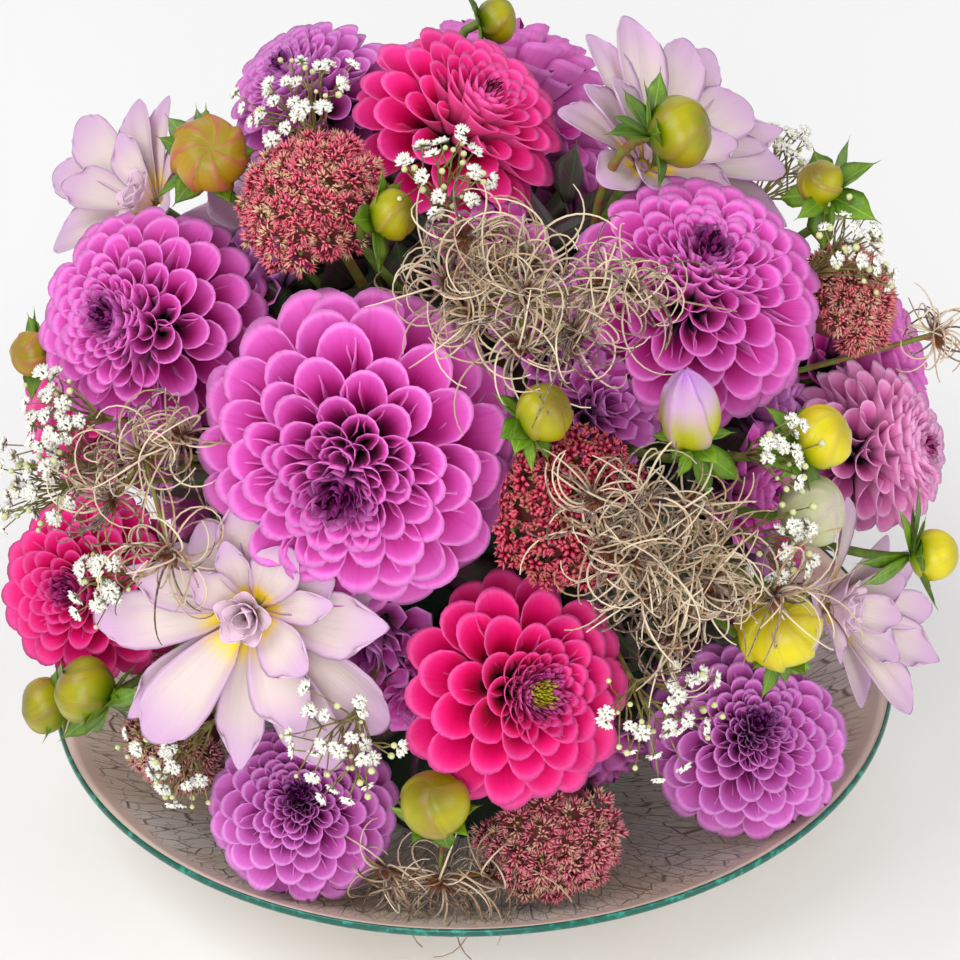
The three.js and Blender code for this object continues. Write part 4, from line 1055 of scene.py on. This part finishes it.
def ruffleForm(name, seed):
    chance = random.Random(seed)
    points, faces, along = [], [], []
    for count, lift, length in ruffle['rounds']:
        for k in range(count):
            turn = (k + chance.random() * 0.5) / count * math.tau
            way = Vector((math.cos(turn) * math.cos(lift), math.sin(turn) * math.cos(lift), math.sin(lift)))
            side = Vector((-math.sin(turn), math.cos(turn), 0))
            up = way.cross(side) * -1
            faces += [[len(points) + corner for corner in face] for face in ruffle['faces']]
            for s, w, h, share in ruffle['corners']:
                raised = h + chance.uniform(-0.06, 0.06)
                points.append(way * (s * length) + side * (w * length) + up * raised)
                along.append(share)
    return meshFrom(name, points, faces, {'along': along})


breathShape = {'forkDepth': 20, 'floret': 3.3, 'bud': 1.1, 'floretShare': 0.55, 'floretSizes': (0.75, 1.05),
               'budSizes': (0.7, 1.2), 'knee': (5, 12), 'kneeShare': 0.5, 'foot': (0, 8), 'fan': (-1.1, 1.1),
               'out': (-3, 4), 'raised': (-7, 3), 'sag': 2.4}
# sprays in the scene only: bearing, height and reach, the spread, and half the number of branches
breathBetween = numbered('breath_between', [
    (43, 24, 163, 12, 4), (40, 14, 163, 12, 4), (-62, 24, 167, 15, 5), (-66, 12, 168, 12, 4),
    (-47, 9, 166, 11, 4),
])


def makeBreath():
    budBall = roundForm('breathBud', 6, 4)
    forms = formCollection('ruffle', [ruffleForm('ruffle0', 3), ruffleForm('ruffle1', 8), budBall])
    for i, (name, spec) in enumerate({**breathPlan, **breathBetween}.items()):
        bearing, height, reach, spread, count = spec
        head = Head(name, bearing, height, reach, spread)
        chance = random.Random(90 + i)
        a, b = sideways(head.axis)
        fork = head.centre - head.axis * (breathShape['forkDepth'] * mm)
        lines = [(head.stemLine(fork), *stems['spray'])]
        places = []
        for k in range(count * 2):
            turn = k * goldenTurn + chance.uniform(-0.3, 0.3)
            out = spread * mm * math.sqrt((k + 0.4) / count / 2)
            knee = fork + head.axis * chance.uniform(*breathShape['knee']) * mm
            knee = knee + between(a, b, turn) * out * breathShape['kneeShare']
            foot = fork - head.axis * chance.uniform(*breathShape['foot']) * mm
            lines.append(([foot, knee], *stems['branch']))
            for _ in range(3):
                side = between(a, b, turn + chance.uniform(*breathShape['fan']))
                far = out + chance.uniform(*breathShape['out']) * mm
                sag = far ** 2 / (breathShape['sag'] * reach * mm)
                raised = chance.uniform(*breathShape['raised']) * mm - sag
                tip = head.centre + side * far + head.axis * raised
                middle = knee.lerp(tip, 0.5) + anyWay(chance, mm)
                lines.append(([knee, middle, tip], *stems['twig']))
                way = (tip - middle).normalized()
                isFloret = chance.random() < breathShape['floretShare']
                kind = 'floret' if isFloret else 'bud'
                size = breathShape[kind] * chance.uniform(*breathShape[kind + 'Sizes']) * mm
                form = chance.randrange(2) if isFloret else 2
                places.append((tip, (*sideways(way), way), (size,) * 3, form, 0.5))
        florets = setOut(places, forms, finishes['breathWhite'], 0.2, i)
        piece(f'{name}_florets', [florets, tubes(lines, finishes['twig'], 4)],
              name if name in breathPlan else None)


makeBreath()
print("baby's breath made")


# clematis: knots of seeds with long silky plumes that curl back on themselves
plumeShape = {'plumes': 34, 'steps': 12, 'thick': 0.52, 'tip': 0.24, 'length': (24, 40), 'curl': (1.8, 5.0),
              'longest': {'clematis_4': 22}, 'seeds': 30, 'seed': (1.6, 1.4, 6), 'lean': (-0.3, 1.1),
              'lift': (-0.4, 0.4), 'curlPower': 1.2}
# more seed heads crowd round the ones on the vine: bearing, height, reach
crowdedKnots = {
    'clematis_1': [(6, 54, 153), (14, 55, 151), (-3, 53, 152), (18, 45, 155), (9, 45, 150), (29, 48, 158),
                   (2, 49, 150)],
    'clematis_2': [(22, 24.5, 156), (16, 26, 155), (28, 22.5, 155), (16.5, 20.5, 157), (26, 18, 156),
                   (21, 14.5, 157), (28.5, 12.5, 156), (23.5, 8, 157)],
    'clematis_3': [(-50, 18, 155), (-42, 29, 152)],
    'clematis_5': [(-14, -33, 150), (2, -35, 149)],
}


def plumeLines(knot, outward, chance, longest):
    lines = []
    a, b = sideways(outward)
    last = plumeShape['steps'] - 1
    for _ in range(plumeShape['plumes']):
        turn, lean = chance.uniform(0, math.tau), chance.uniform(*plumeShape['lean'])
        way = between(a, b, turn) * math.cos(lean) + outward * math.sin(lean)
        bend = way.cross(anyWay(chance)).normalized()
        length = min(chance.uniform(*plumeShape['length']), longest) * mm
        curl = chance.uniform(*plumeShape['curl'])
        lift = chance.uniform(*plumeShape['lift'])
        points, at = [], knot.copy()
        for share in [k / last for k in range(last + 1)]:
            points.append(at.copy())
            heading = curl * share ** plumeShape['curlPower']
            step = way * math.cos(heading) + bend * math.sin(heading) + outward * (lift * share)
            at += step.normalized() * (length / last)
        lines.append((points, plumeShape['thick'], plumeShape['tip']))
    return lines


def makeClematis():
    sizes = [size * mm for size in plumeShape['seed']]
    for i, (name, knots) in enumerate(clematisPlan.items()):
        chance = random.Random(120 + i)
        root = Head(name, *knots[0], 3)
        vines = [(root.stemLine(root.centre), *stems['vine'])]
        plumes, seeds = [], []
        for bearing, height, reach in knots + crowdedKnots.get(name, []):
            knot = placeAt(bearing, height, reach)
            outward = wayTo(bearing, height)
            if (knot - root.centre).length > 3 * mm:
                vines.append(([root.centre, knot], *stems['offshoot']))
            plumes += plumeLines(knot, outward, chance, plumeShape['longest'].get(name, 60))
            a, b = sideways(outward)
            for k in range(plumeShape['seeds']):
                z = a * chance.uniform(-1, 1) + b * chance.uniform(-1, 1) + outward * chance.uniform(-0.2, 1)
                z = z.normalized()
                seeds.append((knot, (*sideways(z), z), sizes, k % 3, 0.5))
        threads = tubes(plumes, finishes['seedPlume'], 3)
        # one number for each thread, which sets its tone from painted shade to painted highlight
        values = np.repeat([chance.random() for _ in plumes], len(threads.vertices) // len(plumes))
        threads.attributes.new('shade', 'FLOAT', 'POINT').data.foreach_set('value', values.astype(np.float32))
        vine = tubes(vines, finishes['stemRed'], 6)
        knobs = setOut(seeds, leaves, finishes['seedBrown'], 0.2, i)
        piece(f'{name}_plumes', [threads, vine, knobs], name)


makeClematis()
print('clematis made')


# small shaded dahlias, and leaves whose dark colour is partly painted shade, that cover the foam between the
# stems
hiddenPlan = [
    (-10, -10), (29, 37), (77, 17), (13, 69), (-17, -1), (-78, 50), (16, -15), (-80, 14),
    (-39, -45), (34, -47), (-8, 42), (25, 50), (150, 30), (-170, 10), (-125, 0), (120, 5),
    (-150, 45), (100, -30), (-120, -40), (170, -50), (-75, -45), (60, 10), (112, 40), (118, 24),
    (74, -34), (90, -48),
]
hiddenBloom = {**openBloom, 'width': (0.2, 0.22, 0.26, 0.32, 0.4, 0.5, 0.54, 0.54), 'last': 84, 'depth': 0.8,
               'spacing': (0.9,) * 8, 'reach': 103, 'radius': 25}


def makeHidden():
    quick = gather('quick', openForms, 'quick quick quick quick')
    clumps = []
    for i, place in enumerate(hiddenPlan):
        head = Head('hidden', *place, hiddenBloom['reach'], hiddenBloom['radius'])
        finish = finishes['orchid' if i % 3 == 0 else 'violet']
        clumps.append(spiralBloom(head, hiddenBloom, quick, finish, 200 + i))
    piece('dahlias_between', clumps)


makeHidden()
foliage = {'leaves': 420, 'reach': (80, 96), 'length': (22, 34), 'width': 0.55, 'lowest': 0.03,
           'cover': 1.75, 'outward': (0.3, 1.0)}


def makeFoliage():
    chance = random.Random(7)
    places = []
    for k in range(foliage['leaves']):
        lift = math.asin(1 - foliage['cover'] * (k + 0.5) / foliage['leaves'])
        way = wayTo(math.degrees(k * goldenTurn), math.degrees(lift))
        at = ballCentre + way * (chance.uniform(*foliage['reach']) * mm)
        z = (way * chance.uniform(*foliage['outward']) + anyWay(chance)).normalized()
        x = z.cross(way).normalized()
        length = chance.uniform(*foliage['length']) * mm
        if min(at.z, (at + z * length).z) < foliage['lowest']:
            continue
        width = length * foliage['width']
        places.append((at, (x, z.cross(x), z), (width, width, length), k % 3, 0.5))
    piece('foliage_between', [setOut(places, leaves, finishes['darkLeaf'], 0.2, 3)])


# the foam: wet green darkened almost to black, partly its own colour and partly painted shade for the gaps
# where it shows
def makeFoam():
    m = NodeSheet('wetFoam')
    pores = m.noise(m.onObject(), 900.0, 4.0)
    m.bump(pores, 0.6, 0.001)
    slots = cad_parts['floral_foam'].data.materials
    slots.clear()
    slots.append(m.finish(m.mix(pores, '16281a', '2c4630'), 0.9))


makeFoliage()
makeFoam()
print('foliage and foam made')


# crackled glass: long cells and fine cells round the dish, none in the clear band under the rim
crackle = {'around': 0.12, 'outward': 0.3, 'cells': ((190.0, 0.05), (380.0, 0.06)), 'warp': (45.0, 1.0),
           'warpSize': 0.006, 'broken': (0.3, 0.45), 'fineShare': 0.6, 'band': (0.0385, 0.0425)}


def crackleFinish():
    m = NodeSheet('crackleGlass')
    axes = m.add('ShaderNodeSeparateXYZ', {0: m.onObject()}).outputs
    reach = m.math('SQRT', m.math('ADD', *(m.math('POWER', axes[key], 2.0) for key in 'XY')))
    where = m.vector([*(m.times(m.math('DIVIDE', axes[key], reach), crackle['around']) for key in 'XY'),
                      m.times(reach, crackle['outward'])])
    shift = m.noise(where, *crackle['warp'], 'Color')
    small = m.add('ShaderNodeVectorMath', {0: shift, 'Scale': crackle['warpSize']}, operation='SCALE')
    warp = m.add('ShaderNodeVectorMath', {0: where, 1: small.outputs[0]}, operation='ADD').outputs[0]
    lines = []
    for scale, width in crackle['cells']:
        cells = m.add('ShaderNodeTexVoronoi', {'Vector': warp, 'Scale': scale}, feature='DISTANCE_TO_EDGE')
        lines.append(m.ease(cells.outputs['Distance'], 0.0, width, 1.0, 0.0))
    broken = m.ease(m.noise(where, 45.0, 3.0), *crackle['broken'])
    crack = m.math('MAXIMUM', m.times(lines[0], broken), m.times(lines[1], crackle['fineShare']))
    band = m.ease(axes['Z'], *crackle['band'])
    crack = m.times(crack, m.math('SUBTRACT', 1.0, band))
    milk = m.ease(m.noise(where, 30.0, 4.0), 0.35, 0.65)
    colour = m.mix(milk, 'fff2dc', 'fffcf2')
    colour = m.mix(band, colour, 'f4e0d0')
    colour = m.mix(m.times(crack, 0.75), colour, '5c4030')
    m.bump(crack, 0.5, 0.0008)
    clear = m.math('SUBTRACT', m.ease(milk, 0.0, 1.0, 0.2, 0.1), m.times(crack, 0.1))
    return m.finish(colour, 0.3, Transmission_Weight=clear, IOR=1.15, Specular_IOR_Level=0.1)


def rimFinish():
    m = NodeSheet('rimGlass')
    cut = m.noise(m.onObject(), 260.0, 4.0)
    m.bump(cut, 0.4, 0.0006)
    colour = m.mix(m.ease(cut, 0.5, 0.7), '0a6254', '28a890')
    return m.finish(colour, 0.15, Transmission_Weight=0.25, IOR=1.5)


def turned(name, profile, finish, sides=192):
    angles = np.linspace(0, math.tau, sides, endpoint=False)
    points = [(r * math.cos(t), r * math.sin(t), z) for t in angles for r, z in profile]
    n = len(profile)
    faces = [[(s + ds) % sides * n + (k + dk) % n for ds, dk in ((0, 0), (1, 0), (1, 1), (0, 1))]
             for s in range(sides) for k in range(n)]
    mesh = meshFrom(name, points, faces)
    mesh.materials.append(finish)
    return mesh


# the dish: one turned wall, thinner towards its rim, and the cut edge as a ring on it
def makeDish():
    radii = np.linspace(dish['footRadius'], dish['rimRadius'], 25)
    inner = [(r * mm, float(wallHeight(np.array(r * mm)))) for r in radii]
    thickness = np.linspace(dish['glass'], dish['edge'], len(inner)) * mm
    outer = [(r + dish['lean'] * mm, z - thick) for (r, z), thick in zip(inner, thickness)]
    middle = dish['middle'] * mm
    profile = [(middle, 0), (dish['footRadius'] * mm, 0), *outer[1:], *inner[::-1],
               (middle, dish['glass'] * mm)]
    piece('dish_wall', [turned('dishWall', profile, crackleFinish())], 'glass_dish')
    r, z = dish['rimRadius'] * mm, (dish['height'] - dish['ringDrop']) * mm
    wide, high = [size * mm for size in dish['ringSize']]
    ring = [(r + dish['ringOut'] * mm + wide * math.cos(t), z + high * math.sin(t))
            for t in np.linspace(0, math.tau, 10, endpoint=False)]
    piece('dish_rim', [turned('dishRim', ring, rimFinish())])


makeDish()
print('dish made')


# the table top and the studio light: where each lamp is, its size and its power
lamps = {'keyLight': ((-1.8, -1.2, 3.0), 2.4, 56), 'fillLight': ((2.2, -1.8, 1.6), 2.0, 24),
         'frontLight': ((-0.3, -2.8, 1.2), 1.6, 36), 'backLight': ((0.4, 2.6, 2.6), 2.6, 14)}


def makeStudio():
    mesh = meshFrom('tableTop', [(-4, -4, 0), (4, -4, 0), (4, 6, 0), (-4, 6, 0)], [(0, 1, 2, 3)])
    mesh.materials.append(NodeSheet('tableTop').finish(tint('efefef'), 0.7))
    table = bpy.data.objects.new('tableTop', mesh)
    bpy.context.scene.collection.objects.link(table)
    for name, (at, size, power) in lamps.items():
        data = bpy.data.lights.new(name, 'AREA')
        data.size, data.energy = size, power
        light = bpy.data.objects.new(name, data)
        light.location = at
        light.rotation_euler = (Vector(at) - ballCentre).to_track_quat('Z', 'Y').to_euler()
        bpy.context.scene.collection.objects.link(light)
    world = bpy.data.worlds.new('softRoom')
    world.use_nodes = True
    room = world.node_tree.nodes['Background'].inputs
    room['Color'].default_value = (1, 1, 1, 1)
    room['Strength'].default_value = 0.62
    bpy.context.scene.world = world
    bpy.context.scene.view_settings.view_transform = 'Standard'


makeStudio()
print('studio made')
